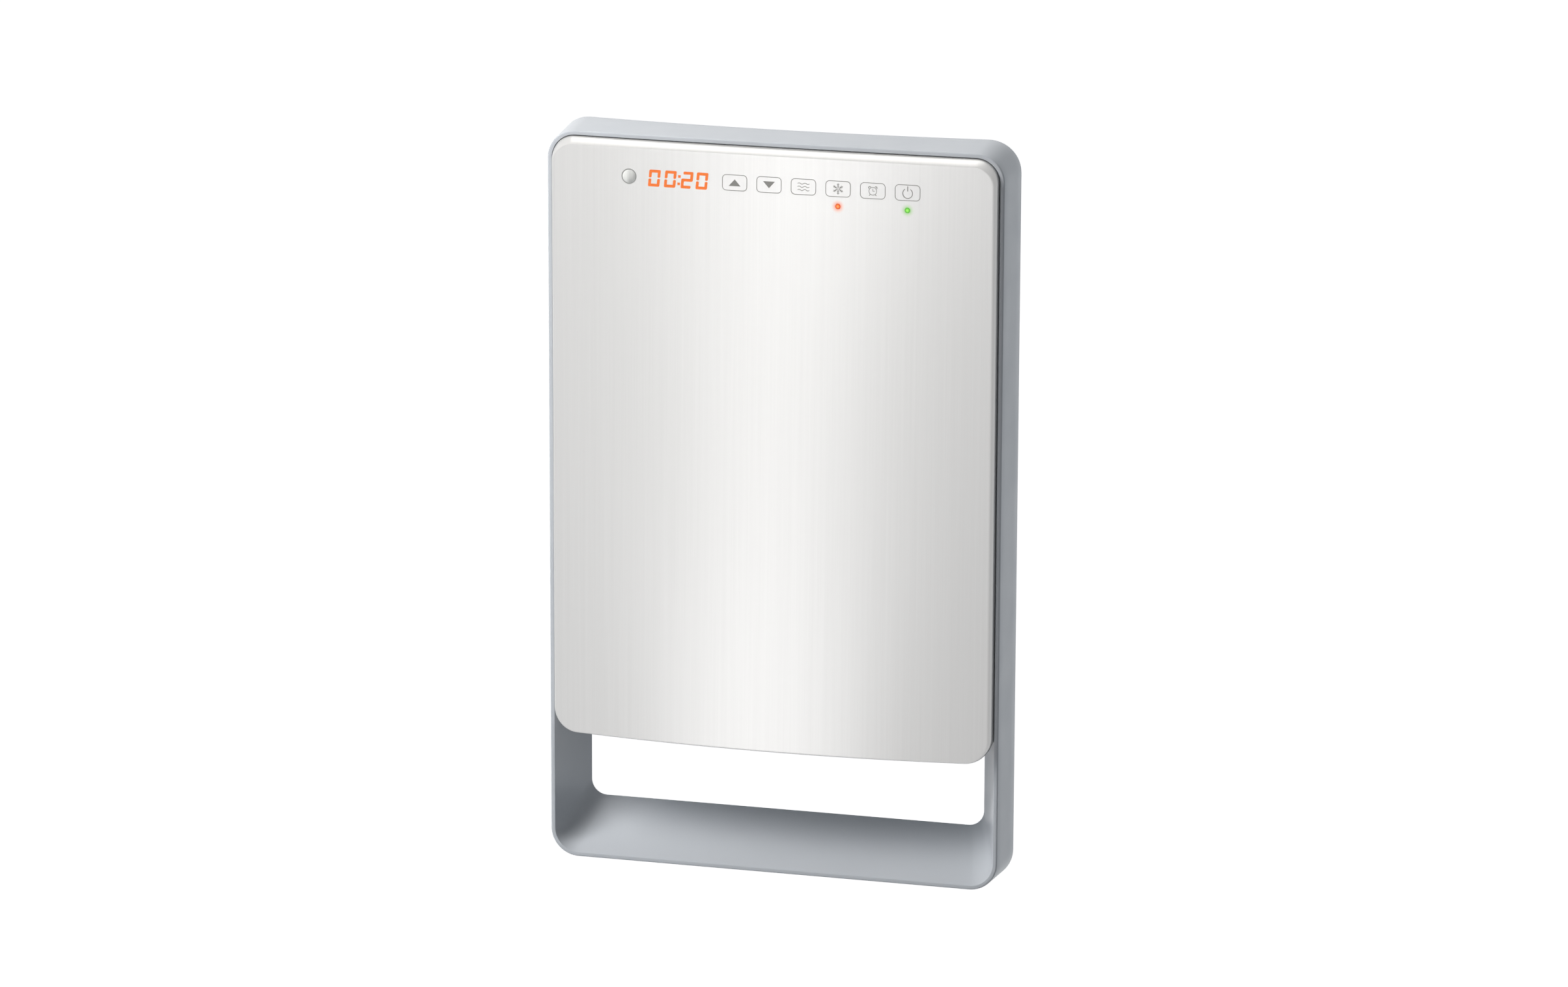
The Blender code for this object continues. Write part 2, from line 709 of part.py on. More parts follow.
def fill_ruled(bm, loop):
    """Fill a loop with rows of facets between its upper and its lower edge, all split one way."""
    half = len(loop) // 2
    count = half - (FACE_ROWS - 1)
    upper, right = loop[:count], loop[count:half]
    lower, left = loop[half : half + count][::-1], loop[half + count :][::-1]
    rows = [upper]
    for row in range(1, FACE_ROWS):
        pairs = zip(upper[1:-1], lower[1:-1])
        middle = [bm.verts.new(a.co.lerp(b.co, row / FACE_ROWS)) for a, b in pairs]
        rows.append([left[row - 1], *middle, right[row - 1]])
    rows.append(lower)
    faces = []
    for above, below in zip(rows, rows[1:]):
        for i in range(count - 1):
            faces.append(bm.faces.new((above[i], above[i + 1], below[i + 1], below[i])))
    bmesh.ops.triangulate(bm, faces=faces, quad_method="FIXED")


def thicken(target, thickness):
    """Give a skin its wall, inwards."""
    solid = target.modifiers.new("wall", "SOLIDIFY")
    solid.thickness = thickness
    solid.offset = -1
    solid.use_even_offset = True


def face_out(bm):
    """Point an open skin's faces to the front."""
    bmesh.ops.recalc_face_normals(bm, faces=bm.faces)
    if sum(face.normal.y * face.calc_area() for face in bm.faces) > 0:
        bmesh.ops.reverse_faces(bm, faces=bm.faces)


def place_skin(name, bm, finish, parent, wall):
    """Turn an open skin into a piece with a wall."""
    face_out(bm)
    mesh = bpy.data.meshes.new(name)
    bm.to_mesh(mesh)
    bm.free()
    mesh.materials.append(finish)
    mesh.shade_smooth()
    mesh.set_sharp_from_angle(angle=SHARP_ANGLE)
    made = bpy.data.objects.new(name, mesh)
    made.parent = parent
    bpy.context.scene.collection.objects.link(made)
    thicken(made, wall)
    return made


def key_places():
    return [FIRST_KEY_PLACE + KEY_PITCH * i for i in range(KEY_COUNT)]


def indicator_places():
    """Places of the orange and the green light, below the fourth and the last key."""
    places = key_places()
    return places[3], places[5]


def through(bm, x, z, radius, sides=SMALL_SIDES):
    """A bore through panel and carrier at a place on the front."""
    front = panel_depth(x, z)
    back = front - PANEL_SHEET - CARRIER_WALL - OVERRUN
    add_rod(bm, (x, -back, z), (x, -front - OVERRUN, z), radius, sides)


def front_panel(root, finish):
    """Bowed sheet with a bent flange, a hem, and bores for the lens and the two lights."""
    bm = bmesh.new()
    turns = [math.pi / 2 * i / BEND_STEPS for i in range(BEND_STEPS + 1)]
    _, face = loft(bm, [flange_edge()] + [panel_loop(turn) for turn in turns])
    fill_ruled(bm, face)
    panel = place_skin("front_panel", bm, finish, root, PANEL_SHEET)
    bores = bmesh.new()
    through(bores, LENS_PLACE, KEY_ROW_HEIGHT, LENS_DIAMETER / 2 + GAP, ROUND_SIDES)
    for x in indicator_places():
        through(bores, x, KEY_ROW_HEIGHT - INDICATOR_DROP, INDICATOR_DIAMETER / 2 + GAP)
    cut(panel, "panel_bores", bores)
    return panel


def carrier_depth(x, z):
    """Depth of the carrier's front face, just behind the panel's sheet."""
    return panel_depth(x, z) - PANEL_SHEET - GAP


def carrier_outline():
    inset = PANEL_BEND + GAP
    return outline(
        PANEL_HALF - inset,
        PANEL_BOTTOM + PANEL_HEM + PANEL_SHEET + GAP,
        PANEL_TOP - inset,
        PANEL_TOP_CORNER - inset,
        PANEL_BOTTOM_CORNER - inset,
    )


def housing_outline(inset=0.0, rise=0.0, steps=PLAIN):
    radius = HOUSING_CORNER - inset
    bottom, top = HOUSING_BOTTOM + inset, HOUSING_TOP - inset + rise
    return outline(HOUSING_HALF - inset, bottom, top, radius, radius, steps)


def housing_taper(depth):
    """How far the housing has drawn in at a depth, through its draft."""
    return HOUSING_DRAFT * (HOUSING_FRONT - depth) / (HOUSING_FRONT - HOUSING_BACK - HOUSING_ROUND)


def skirt_wall(inset):
    """One face of the carrier's skirt: from the housing's edge up round the control board."""
    low = housing_outline(inset, steps=BOWED)
    high = housing_outline(inset, SKIRT_RISE, BOWED)
    seat = [carrier_depth(x, z) - CARRIER_WALL / 2 for x, z in high]
    shoulder = BOARD_FACE - BOARD_THICKNESS - SKIRT_SHOULDER
    return [level(low, HOUSING_FRONT + GAP), level(high, shoulder), at_depths(high, seat)]


def board_heights():
    middle = KEY_ROW_HEIGHT - BOARD_DROP
    return middle - BOARD_HEIGHT / 2, middle + BOARD_HEIGHT / 2


def board_screw_places():
    inset = BOARD_LENGTH / 2 - BOARD_SCREW_INSET
    height = board_heights()[0] + BOARD_SCREW_INSET
    return [(-inset, height), (inset, height)]


def front_carrier(root, finish):
    """Moulding behind the panel: a bowed plate, a skirt to the housing, bosses and windows."""
    bm = bmesh.new()
    points = carrier_outline()
    rim = at_depths(points, [carrier_depth(x, z) for x, z in points])
    _, face = loft(bm, [rim])
    fill_ruled(bm, face)
    carrier = place_skin("front_carrier", bm, finish, root, CARRIER_WALL)
    skirt = skirt_wall(0.0) + skirt_wall(CARRIER_WALL)[::-1]
    join(carrier, "carrier_skirt", closed_ring(skirt))
    bosses, bores, notches = bmesh.new(), bmesh.new(), []
    for z in SCREW_HEIGHTS:
        for x in (-SCREW_X, SCREW_X):
            seat = carrier_depth(x, z) - CARRIER_WALL / 2
            add_rod(bosses, (x, -LUG_FRONT - GAP, z), (x, -seat, z), CARRIER_BOSS / 2)
            tip = LUG_FRONT + FRAME_SCREW_LENGTH - BOSS_FLOOR - LUG_THICKNESS + GAP
            add_rod(bores, (x, -LUG_FRONT + OVERRUN, z), (x, -tip, z), SCREW_SHANK / 2 + GAP)
            half = LUG_WIDTH / 2 + GAP * 2
            low = (min(x - half, x * 2), -LUG_FRONT - GAP, z - half)
            high = (max(x + half, x * 2), -HOUSING_FRONT + OVERRUN, z + half)
            notches.append((low, high))
    for x, z in board_screw_places():
        seat = carrier_depth(x, z) - CARRIER_WALL / 2
        add_rod(bosses, (x, -BOARD_FACE - GAP, z), (x, -seat, z), POST_DIAMETER / 2)
        tip = BOARD_FACE + BOARD_SCREW_LENGTH - BOARD_THICKNESS
        add_rod(bores, (x, -BOARD_FACE + OVERRUN, z), (x, -tip, z), SCREW_SHANK / 2 + GAP)
    cut(carrier, "carrier_notches", boxes(notches))
    join(carrier, "carrier_bosses", bosses)
    lens = LENS_DIAMETER / 2 + LENS_FLANGE + GAP
    through(bores, LENS_PLACE, KEY_ROW_HEIGHT, lens, ROUND_SIDES)
    for x in indicator_places():
        through(bores, x, KEY_ROW_HEIGHT - INDICATOR_DROP, INDICATOR_DIAMETER / 2 + GAP)
    for x in key_places():
        through(bores, x, KEY_ROW_HEIGHT, PAD_DIAMETER / 2 + GAP)
    half = DISPLAY_LENGTH / 2 + GAP
    rise = DISPLAY_HEIGHT / 2 + GAP
    low = (DISPLAY_PLACE - half, -RIM_DEPTH - PANEL_PROUD - OVERRUN, KEY_ROW_HEIGHT - rise)
    high = (DISPLAY_PLACE + half, -BOARD_FACE, KEY_ROW_HEIGHT + rise)
    add_box(bores, low, high)
    cut(carrier, "carrier_windows", bores)
    return carrier


def housing_loop(turn, wall=0.0):
    """Housing's back edge, part of the way round: 0 on its side, a quarter turn on its back."""
    radius = HOUSING_ROUND - wall
    points = housing_outline(HOUSING_DRAFT + wall + radius * (1 - math.cos(turn)))
    return level(points, HOUSING_BACK + wall + radius * (1 - math.sin(turn)))


def post_places():
    """Posts of the power board, at its four corners."""
    along = POWER_LENGTH / 2 - POWER_POST_INSET
    rise = POWER_RISE / 2 - POWER_POST_INSET
    pairs = [(sx * along, sz * rise) for sx in (-1, 1) for sz in (-1, 1)]
    return [(POWER_PLACE + x, POWER_HEIGHT + z) for x, z in pairs]


def rear_housing(root, finish):
    """Tub that holds the fan, the motor and the element, screwed to the carrier."""
    turns = [math.pi / 2 * i / BEND_STEPS for i in range(BEND_STEPS + 1)]
    inner = [housing_loop(turn, HOUSING_WALL) for turn in turns[::-1]]
    outer = [housing_loop(turn) for turn in turns]
    edge = [level(housing_outline(HOUSING_WALL), HOUSING_FRONT)]
    edge.append(level(housing_outline(), HOUSING_FRONT))
    housing = place("rear_housing", capped(inner + edge + outer), finish, root)
    bosses, bores = bmesh.new(), bmesh.new()
    floor = HOUSING_FRONT - BOSS_FLOOR
    for z in SCREW_HEIGHTS:
        for x in (-SCREW_X, SCREW_X):
            seat = HOUSING_BACK + HOUSING_WALL / 2
            add_rod(bosses, (x, -seat, z), (x, -HOUSING_FRONT, z), SCREW_BOSS / 2)
            add_rod(bores, (x, OVERRUN, z), (x, -floor, z), SCREW_HEAD / 2 + GAP)
    for x, z in post_places():
        seat = HOUSING_BACK + HOUSING_WALL / 2
        top = HOUSING_FLOOR + POWER_STANDOFF - GAP
        add_rod(bosses, (x, -seat, z), (x, -top, z), POST_DIAMETER / 2)
    join(housing, "housing_bosses", bosses)
    cut(housing, "housing_screw_wells", bores)
    cuts = housing_openings()
    for z in SCREW_HEIGHTS:
        for x in (-SCREW_X, SCREW_X):
            shank = SCREW_SHANK / 2 + GAP
            add_rod(cuts, (x, -floor + OVERRUN, z), (x, -HOUSING_FRONT - OVERRUN, z), shank)
    cut(housing, "housing_openings", cuts)
    return housing


def hook_places():
    return (-HOOK_SPREAD / 2, HOOK_SPREAD / 2)


def bumper_places():
    x = HOUSING_HALF - BUMPER_INSET
    z = HOUSING_BOTTOM + BUMPER_INSET
    return (-x, z), (x, z)


def housing_openings():
    """Cut-outs for the grilles, the hooks, the bumpers and the cable inlet."""
    bm = bmesh.new()
    half = INTAKE_LENGTH / 2
    near = INTAKE_DEPTH - INTAKE_WIDTH / 2
    low = (-half, -near - INTAKE_WIDTH, HOUSING_TOP - HOUSING_WALL - OVERRUN)
    add_box(bm, low, (half, -near, HOUSING_TOP + OVERRUN))
    half = DUCT_LENGTH / 2
    low = (FAN_PLACE - half, -ELEMENT_DEPTH - DUCT_WIDTH / 2, HOUSING_BOTTOM - OVERRUN)
    high = (FAN_PLACE + half, -ELEMENT_DEPTH + DUCT_WIDTH / 2, HOUSING_BOTTOM + HOUSING_WALL + OVERRUN)
    add_box(bm, low, high)
    for x in hook_places():
        top = BRACKET_HEIGHT + BRACKET_WIDTH / 2 + GAP
        base = top - HOOK_RISE - BRACKET_SHEET - HOOK_ENTRY
        half = HOOK_WIDTH / 2 + GAP
        add_box(bm, (x - half, -HOUSING_FLOOR - OVERRUN, base), (x + half, OVERRUN, top))
    for x, z in bumper_places():
        stem = BUMPER_STEM / 2 + GAP
        add_rod(bm, (x, OVERRUN, z), (x, -HOUSING_FLOOR - OVERRUN, z), stem)
    low = (INLET_PLACE, -INLET_DEPTH, HOUSING_BOTTOM - OVERRUN)
    high = (INLET_PLACE, -INLET_DEPTH, HOUSING_BOTTOM + HOUSING_WALL + OVERRUN)
    add_rod(bm, low, high, INLET_NECK + GAP, ROUND_SIDES)
    return bm


def intake_grille(root, finish):
    """Slotted insert in the housing's top, with a flange below the wall."""
    half = INTAKE_LENGTH / 2 - GAP
    middle = -INTAKE_DEPTH
    wide = INTAKE_WIDTH / 2 - GAP
    face = HOUSING_TOP - housing_taper(INTAKE_DEPTH + INTAKE_WIDTH / 2)
    under = HOUSING_TOP - housing_taper(INTAKE_DEPTH - INTAKE_WIDTH / 2 - GRILLE_RIM)
    under -= HOUSING_WALL + GAP
    low = (-half, middle - wide, under - GRILLE_FLANGE)
    grille = place("intake_grille", boxes([(low, (half, middle + wide, face))]), finish, root)
    reach = GRILLE_RIM
    low = (-half - reach, middle - wide - reach, under - GRILLE_FLANGE)
    join(grille, "intake_flange", boxes([(low, (half + reach, middle + wide + reach, under))]))
    pitch = (INTAKE_LENGTH - GRILLE_RIM * 2) / INTAKE_SLOTS
    slots = []
    for i in range(INTAKE_SLOTS):
        x = pitch * (i - (INTAKE_SLOTS - 1) / 2)
        low = (x - SLOT_WIDTH / 2, middle - wide + GRILLE_RIM, under - OVERRUN)
        slots.append((low, (x + SLOT_WIDTH / 2, middle + wide - GRILLE_RIM, HOUSING_TOP + OVERRUN)))
    cut(grille, "intake_slots", boxes(slots))
    return grille


def rectangular_tube(length, width, wall, low, high):
    """Open-ended rectangular sleeve standing along Z about the datum."""
    loops = []
    for inset, heights in ((0.0, (low, high)), (wall, (high, low))):
        x, y = length / 2 - inset, width / 2 - inset
        corners = ((-x, -y), (x, -y), (x, y), (-x, y))
        loops += [[Vector((cx, cy, z)) for cx, cy in corners] for z in heights]
    return closed_ring(loops)


def outlet_grille(element, finish):
    """Rim with tilted blades and stays, filling the opening in the housing's bottom."""
    low = HOUSING_BOTTOM - ELEMENT_TOP
    high = low + OUTLET_HEIGHT
    length = DUCT_LENGTH - GAP * 2
    width = DUCT_WIDTH - GAP * 2
    rim = rectangular_tube(length, width, GRILLE_RIM, low, high)
    grille = place("outlet_grille", rim, finish, element)
    middle = (low + high) / 2
    inside = length / 2 - GRILLE_RIM / 2
    blades = bmesh.new()
    turn = Matrix.Rotation(OUTLET_BLADE_TURN, 4, "X")
    pitch = (width - GRILLE_RIM * 2) / (OUTLET_BLADES + 1)
    tall = (OUTLET_HEIGHT - OUTLET_BLADE_THICKNESS) / math.cos(OUTLET_BLADE_TURN)
    tall = min(OUTLET_BLADE, tall * OUTLET_BLADE_SHARE)
    for i in range(OUTLET_BLADES):
        y = pitch * (i - (OUTLET_BLADES - 1) / 2)
        lower = (-inside, y - OUTLET_BLADE_THICKNESS / 2, middle - tall / 2)
        upper = (inside, y + OUTLET_BLADE_THICKNESS / 2, middle + tall / 2)
        add_box(blades, lower, upper, turn)
    join(grille, "outlet_blades", blades)
    stays = []
    for i in range(OUTLET_STAYS):
        x = length * ((i + 1) / (OUTLET_STAYS + 1) - 1 / 2)
        half = OUTLET_BLADE_THICKNESS / 2
        reach = width / 2 - GRILLE_RIM / 2
        stays.append(((x - half, -reach, low + half), (x + half, reach, high - half)))
    join(grille, "outlet_stays", boxes(stays))
    return grille


def outlet_duct(element, finish):
    """Sheet sleeve that leads the hot air from the element to the outlet."""
    low = HOUSING_BOTTOM + OUTLET_HEIGHT + GAP - ELEMENT_TOP
    high = -ELEMENT_HEIGHT - GAP
    sleeve = rectangular_tube(DUCT_LENGTH, DUCT_WIDTH, DUCT_SHEET, low, high)
    return place("outlet_duct", sleeve, finish, element)


def wall_bracket(root, finish):
    """Steel plate with bent edges, two hooks for the housing and two keyholes for the wall."""
    half, rise = BRACKET_LENGTH / 2, BRACKET_WIDTH / 2
    corner = BRACKET_CORNER
    points = outline(half, -rise, rise, corner, corner, PLAIN)
    made = capped([level(points, 0), level(points, BRACKET_SHEET)])
    plate = place("wall_bracket", made, finish, root, location=(0, 0, BRACKET_HEIGHT))
    reach = HOUSING_BACK - GAP
    edges = []
    for side in (-1, 1):
        z = sorted((side * rise, side * (rise - BRACKET_SHEET)))
        run = half - corner * 2
        edges.append(((-run, -reach, z[0]), (run, -BRACKET_SHEET / 2, z[1])))
    join(plate, "bracket_edges", boxes(edges))
    hooks = []
    for x in hook_places():
        left, right = x - HOOK_WIDTH / 2, x + HOOK_WIDTH / 2
        top = rise
        tip = HOUSING_FLOOR + GAP + BRACKET_SHEET
        hooks.append(((left, -tip, top - BRACKET_SHEET), (right, -BRACKET_SHEET / 2, top)))
    join(plate, "bracket_hook_arms", boxes(hooks))
    tips = []
    for x in hook_places():
        left, right = x - HOOK_WIDTH / 2, x + HOOK_WIDTH / 2
        near = HOUSING_FLOOR + GAP
        low = (left, -near - BRACKET_SHEET, rise - BRACKET_SHEET)
        tips.append((low, (right, -near, rise + HOOK_RISE)))
    join(plate, "bracket_hook_tips", boxes(tips))
    entries = bmesh.new()
    for x in (-KEYHOLE_SPREAD / 2, KEYHOLE_SPREAD / 2):
        z = -KEYHOLE_DROP / 2
        add_rod(entries, (x, OVERRUN, z), (x, -BRACKET_SHEET - OVERRUN, z), KEYHOLE_HEAD / 2)
    cut(plate, "keyhole_entries", entries)
    slots = []
    for x in (-KEYHOLE_SPREAD / 2, KEYHOLE_SPREAD / 2):
        neck = KEYHOLE_NECK / 2
        low = (x - neck, -BRACKET_SHEET - OVERRUN, -KEYHOLE_DROP / 2)
        slots.append((low, (x + neck, OVERRUN, KEYHOLE_DROP / 2)))
    cut(plate, "keyhole_slots", boxes(slots))
    return plate


def wall_bumpers(root, finish):
    """Two rubber buttons that keep the housing's lower end off the wall."""
    for name, (x, z) in zip(("wall_bumper_left", "wall_bumper_right"), bumper_places()):
        axis = Vector((0, -1, 0))
        head, stem = BUMPER_DIAMETER / 2, BUMPER_STEM / 2
        reach = HOUSING_BACK - GAP
        tip = HOUSING_FLOOR + GAP
        barb = stem + GAP * 2
        profile = [(0, 0), (0, head - reach / 4), (reach / 4, head), (reach, head), (reach, stem)]
        profile += [(tip, stem), (tip, barb), (tip + reach / 3, stem * 2 / 3), (tip + reach / 3, 0)]
        place(name, turned(profile, axis), finish, root, location=(x, 0, z))


def control_board(controls, finish):
    """Printed board behind the keys, held by two screws."""
    low, high = board_heights()
    low, high = low - KEY_ROW_HEIGHT, high - KEY_ROW_HEIGHT
    half = BOARD_LENGTH / 2
    board = boxes([((-half, 0, low), (half, BOARD_THICKNESS, high))])
    made = place("control_board", board, finish, controls)
    bores = bmesh.new()
    for x, z in board_screw_places():
        z = z - KEY_ROW_HEIGHT
        add_rod(bores, (x, -OVERRUN, z), (x, BOARD_THICKNESS + OVERRUN, z), SCREW_SHANK / 2 + GAP)
    cut(made, "board_bores", bores)
    return made


def panel_back(x, z):
    """How far the panel's back face is in front of the control board, at the nearest."""
    return panel_depth(x, z) - PANEL_SHEET - BOARD_FACE


def display_module(controls, finish):
    """Four-digit lamp block, its face just behind the panel."""
    half, rise = DISPLAY_LENGTH / 2, DISPLAY_HEIGHT / 2
    edge = DISPLAY_PLACE - half
    front = panel_back(edge, KEY_ROW_HEIGHT + rise) - GAP
    block = boxes([((-half, -front, -rise), (half, -GAP, rise))])
    bmesh.ops.bevel(
        block,
        geom=[edge for edge in block.edges],
        offset=CASE_ROUND / 2,
        affect="EDGES",
        segments=1,
        profile=ROUND_PROFILE,
        material=-1,
    )
    return place("display_module", block, finish, controls, location=(DISPLAY_PLACE, 0, 0))


def touch_pads(controls, finish):
    """Sensing pads between the board and the panel, one behind each printed key."""
    names = ("up", "down", "mode", "frost", "timer", "power")
    for name, x in zip(names, key_places()):
        edge = abs(x) + PAD_DIAMETER / 2
        front = panel_back(edge, KEY_ROW_HEIGHT + PAD_DIAMETER / 2) - GAP
        pad = rods([((0, -GAP, 0), (0, -front, 0))], PAD_DIAMETER / 2)
        place("touch_pad_" + name, pad, finish, controls, location=(x, 0, 0))


def indicators(controls, orange, green):
    """Light guides under the fourth and the last key, flush with the panel."""
    z = -INDICATOR_DROP
    pairs = (("indicator_frost", orange), ("indicator_power", green))
    for (name, finish), x in zip(pairs, indicator_places()):
        front = panel_depth(x, KEY_ROW_HEIGHT + z) - BOARD_FACE
        thin = INDICATOR_DIAMETER / 2
        wide = INDICATOR_BASE / 2
        crown = GAP
        profile = [(GAP, 0), (GAP, wide), (INDICATOR_BASE_HEIGHT, wide), (INDICATOR_BASE_HEIGHT, thin)]
        profile += [(front, thin), (front + crown, thin / 2), (front + crown, 0)]
        guide = turned(profile, Vector((0, -1, 0)), SMALL_SIDES)
        place(name, guide, finish, controls, location=(x, 0, z))


def sensor(controls, lens_finish, can_finish):
    """Domed lens in the panel's bore, over a small sensing element on the board."""
    radius = LENS_DIAMETER / 2
    front = panel_depth(LENS_PLACE, KEY_ROW_HEIGHT) - BOARD_FACE
    edge = abs(LENS_PLACE) + radius + LENS_FLANGE
    seat = panel_back(edge, KEY_ROW_HEIGHT) - GAP
    flange = radius + LENS_FLANGE
    dome_radius = (radius * radius + LENS_DOME * LENS_DOME) / (2 * LENS_DOME)
    centre = front + LENS_DOME - dome_radius
    reach = math.asin(radius / dome_radius)
    profile = [(GAP, radius - LENS_WALL), (GAP, flange), (seat, flange), (seat, radius), (front, radius)]
    for i in range(1, 6):
        angle = reach * (1 - i / 5)
        profile.append((centre + dome_radius * math.cos(angle), dome_radius * math.sin(angle)))
    profile += [(front, 0), (front - LENS_WALL, radius - LENS_WALL), (GAP, radius - LENS_WALL)]
    lens = turned(profile, Vector((0, -1, 0)))
    place("sensor_lens", lens, lens_finish, controls, location=(LENS_PLACE, 0, 0))
    can = [(GAP, 0), (GAP, SENSOR_DIAMETER / 2), (SENSOR_HEIGHT, SENSOR_DIAMETER / 2), (SENSOR_HEIGHT, 0)]
    element = turned(can, Vector((0, -1, 0)), SMALL_SIDES)
    place("sensor_element", element, can_finish, controls, location=(LENS_PLACE, 0, 0))


def screw_profile(length):
    """Pan-head screw from its head's top to its tip, along its axis."""
    head, shank = SCREW_HEAD / 2, SCREW_SHANK / 2
    tall = SCREW_HEAD_HEIGHT
    profile = [(-tall, 0), (-tall, head * SCREW_CROWN_SHARE), (0, head), (0, shank)]
    return profile + [(length - shank, shank), (length, 0)]


def screws(root, finish):
    """Four long screws through housing, lug and carrier, and two in the control board."""
    axis = Vector((0, -1, 0))
    names = iter(("lower_left", "lower_right", "upper_left", "upper_right"))
    for z in SCREW_HEIGHTS:
        for x in (-SCREW_X, SCREW_X):
            seat = -(HOUSING_FRONT - BOSS_FLOOR - GAP)
            screw = turned(screw_profile(FRAME_SCREW_LENGTH), axis, SCREW_SIDES)
            place("frame_screw_" + next(names), screw, finish, root, location=(x, seat, z))
    for name, (x, z) in zip(("left", "right"), board_screw_places()):
        seat = -(BOARD_FACE - BOARD_THICKNESS - GAP)
        screw = turned(screw_profile(BOARD_SCREW_LENGTH), axis, SCREW_SIDES)
        place("board_screw_" + name, screw, finish, root, location=(x, seat, z))


def spiral_points(offset):
    """Scroll's section in Y and Z from the fan's axis, then straight down to the element."""
    points = []
    end = math.pi / 2
    for i in range(SPIRAL_STEPS + 1):
        share = i / SPIRAL_STEPS
        angle = SCROLL_START_ANGLE + (end - SCROLL_START_ANGLE) * share
        radius = SCROLL_START_RADIUS + (SCROLL_BACK_RADIUS - SCROLL_START_RADIUS) * share + offset
        points.append((radius * math.sin(angle), radius * math.cos(angle)))
    points.append((SCROLL_BACK_RADIUS + offset, -ELEMENT_DROP + GAP))
    return points


def fan_scroll(fan, finish):
    """Curved guide sheet behind the impeller."""
    points = spiral_points(0) + spiral_points(SCROLL_SHEET)[::-1]
    half = PLATE_INNER - GAP
    return place("fan_scroll", prism(points, -half, half), finish, fan)


def tongue_points(offset):
    """Tongue's section: a lip that follows the impeller, then down to the element's front."""
    points = []
    for i in range(SPIRAL_STEPS - 3):
        share = i / (SPIRAL_STEPS - 4)
        angle = TONGUE_START_ANGLE + (TONGUE_END_ANGLE - TONGUE_START_ANGLE) * share
        radius = TONGUE_RADIUS + offset
        points.append((radius * math.sin(angle), radius * math.cos(angle)))
    front = FAN_DEPTH - ELEMENT_FRONT + ELEMENT_WALL / 2
    points.append((front - offset, -ELEMENT_DROP + GAP))
    return points


def fan_tongue(fan, finish):
    """Bent sheet that parts the intake from the outlet side."""
    points = tongue_points(0) + tongue_points(SCROLL_SHEET)[::-1]
    half = PLATE_INNER - GAP
    return place("fan_tongue", prism(points, -half, half), finish, fan)


def end_plate_points():
    """Outline of the fan's end plates: round over the top, straight down to the element."""
    points = []
    steps = ROUND_SIDES
    last = -math.radians(110)
    for i in range(steps + 1):
        angle = math.pi / 2 + (last - math.pi / 2) * i / steps
        points.append((PLATE_RADIUS * math.sin(angle), PLATE_RADIUS * math.cos(angle)))
    points.append((FAN_DEPTH - ELEMENT_FRONT, -ELEMENT_DROP + GAP))
    points.append((PLATE_RADIUS, -ELEMENT_DROP + GAP))
    return points


def end_plates(fan, finish):
    """Two plates that close the scroll's ends, bored for the bearing and the hub."""
    for name, side, bore in (
        ("fan_end_plate_left", -1, GROMMET_NECK + GAP),
        ("fan_end_plate_right", 1, HUB_NECK),
    ):
        ends = sorted((side * PLATE_INNER, side * PLATE_OUTER))
        plate = place(name, prism(end_plate_points(), ends[0], ends[1]), finish, fan)
        hole = rods([((ends[0] - OVERRUN, 0, 0), (ends[1] + OVERRUN, 0, 0))], bore, ROUND_SIDES)
        cut(plate, name + "_bore", hole)


def blade_points():
    """Forward-curved blade's section in Y and Z, a thin crescent between two radii."""
    faces = []
    for offset in (-BLADE_THICKNESS / 2, BLADE_THICKNESS / 2):
        side = []
        for share in (0.0, 0.5, 1.0):
            radius = BLADE_ROOT + (FAN_RADIUS - BLADE_ROOT) * share
            angle = BLADE_LEAN * share * share + offset / radius
            side.append((radius * math.sin(angle), radius * math.cos(angle)))
        faces.append(side)
    return faces[0] + faces[1][::-1]


def fan_impeller(fan, finish):
    """Crossflow impeller: a cage of curved blades held by end and middle discs."""
    half = FAN_LENGTH / 2
    disc = DISC_THICKNESS
    rim = FAN_RADIUS + BLADE_THICKNESS / 2
    axis = Vector((1, 0, 0))
    cage = turned(ring_profile(-half, -half + disc, SHAFT_BORE, rim), axis, FAN_SIDES)
    others = [(half - disc, half, HUB_NECK + GAP)]
    for share in MIDDLE_DISC_SHARES:
        middle = FAN_LENGTH * share
        others.append((middle - disc / 2, middle + disc / 2, DISC_BORE))
    for start, end, bore in others:
        ring = turned(ring_profile(start, end, bore, rim), axis, FAN_SIDES)
        spare = bpy.data.meshes.new("spare")
        ring.to_mesh(spare)
        ring.free()
        cage.from_mesh(spare)
        bpy.data.meshes.remove(spare)
    impeller = place("fan_impeller", cage, finish, fan)
    inset = disc / 3
    blades = bmesh.new()
    for i in range(BLADE_COUNT):
        turn = Matrix.Rotation(math.tau * i / BLADE_COUNT, 4, "X")
        points = [turn @ Vector((-half + inset, y, z)) for y, z in blade_points()]
        base = blades.faces.new([blades.verts.new(point) for point in points])
        made = bmesh.ops.extrude_face_region(blades, geom=[base])["geom"]
        far = [part for part in made if isinstance(part, bmesh.types.BMVert)]
        bmesh.ops.translate(blades, verts=far, vec=(FAN_LENGTH - inset * 2, 0, 0))
    join(impeller, "fan_blades", blades)
    return impeller


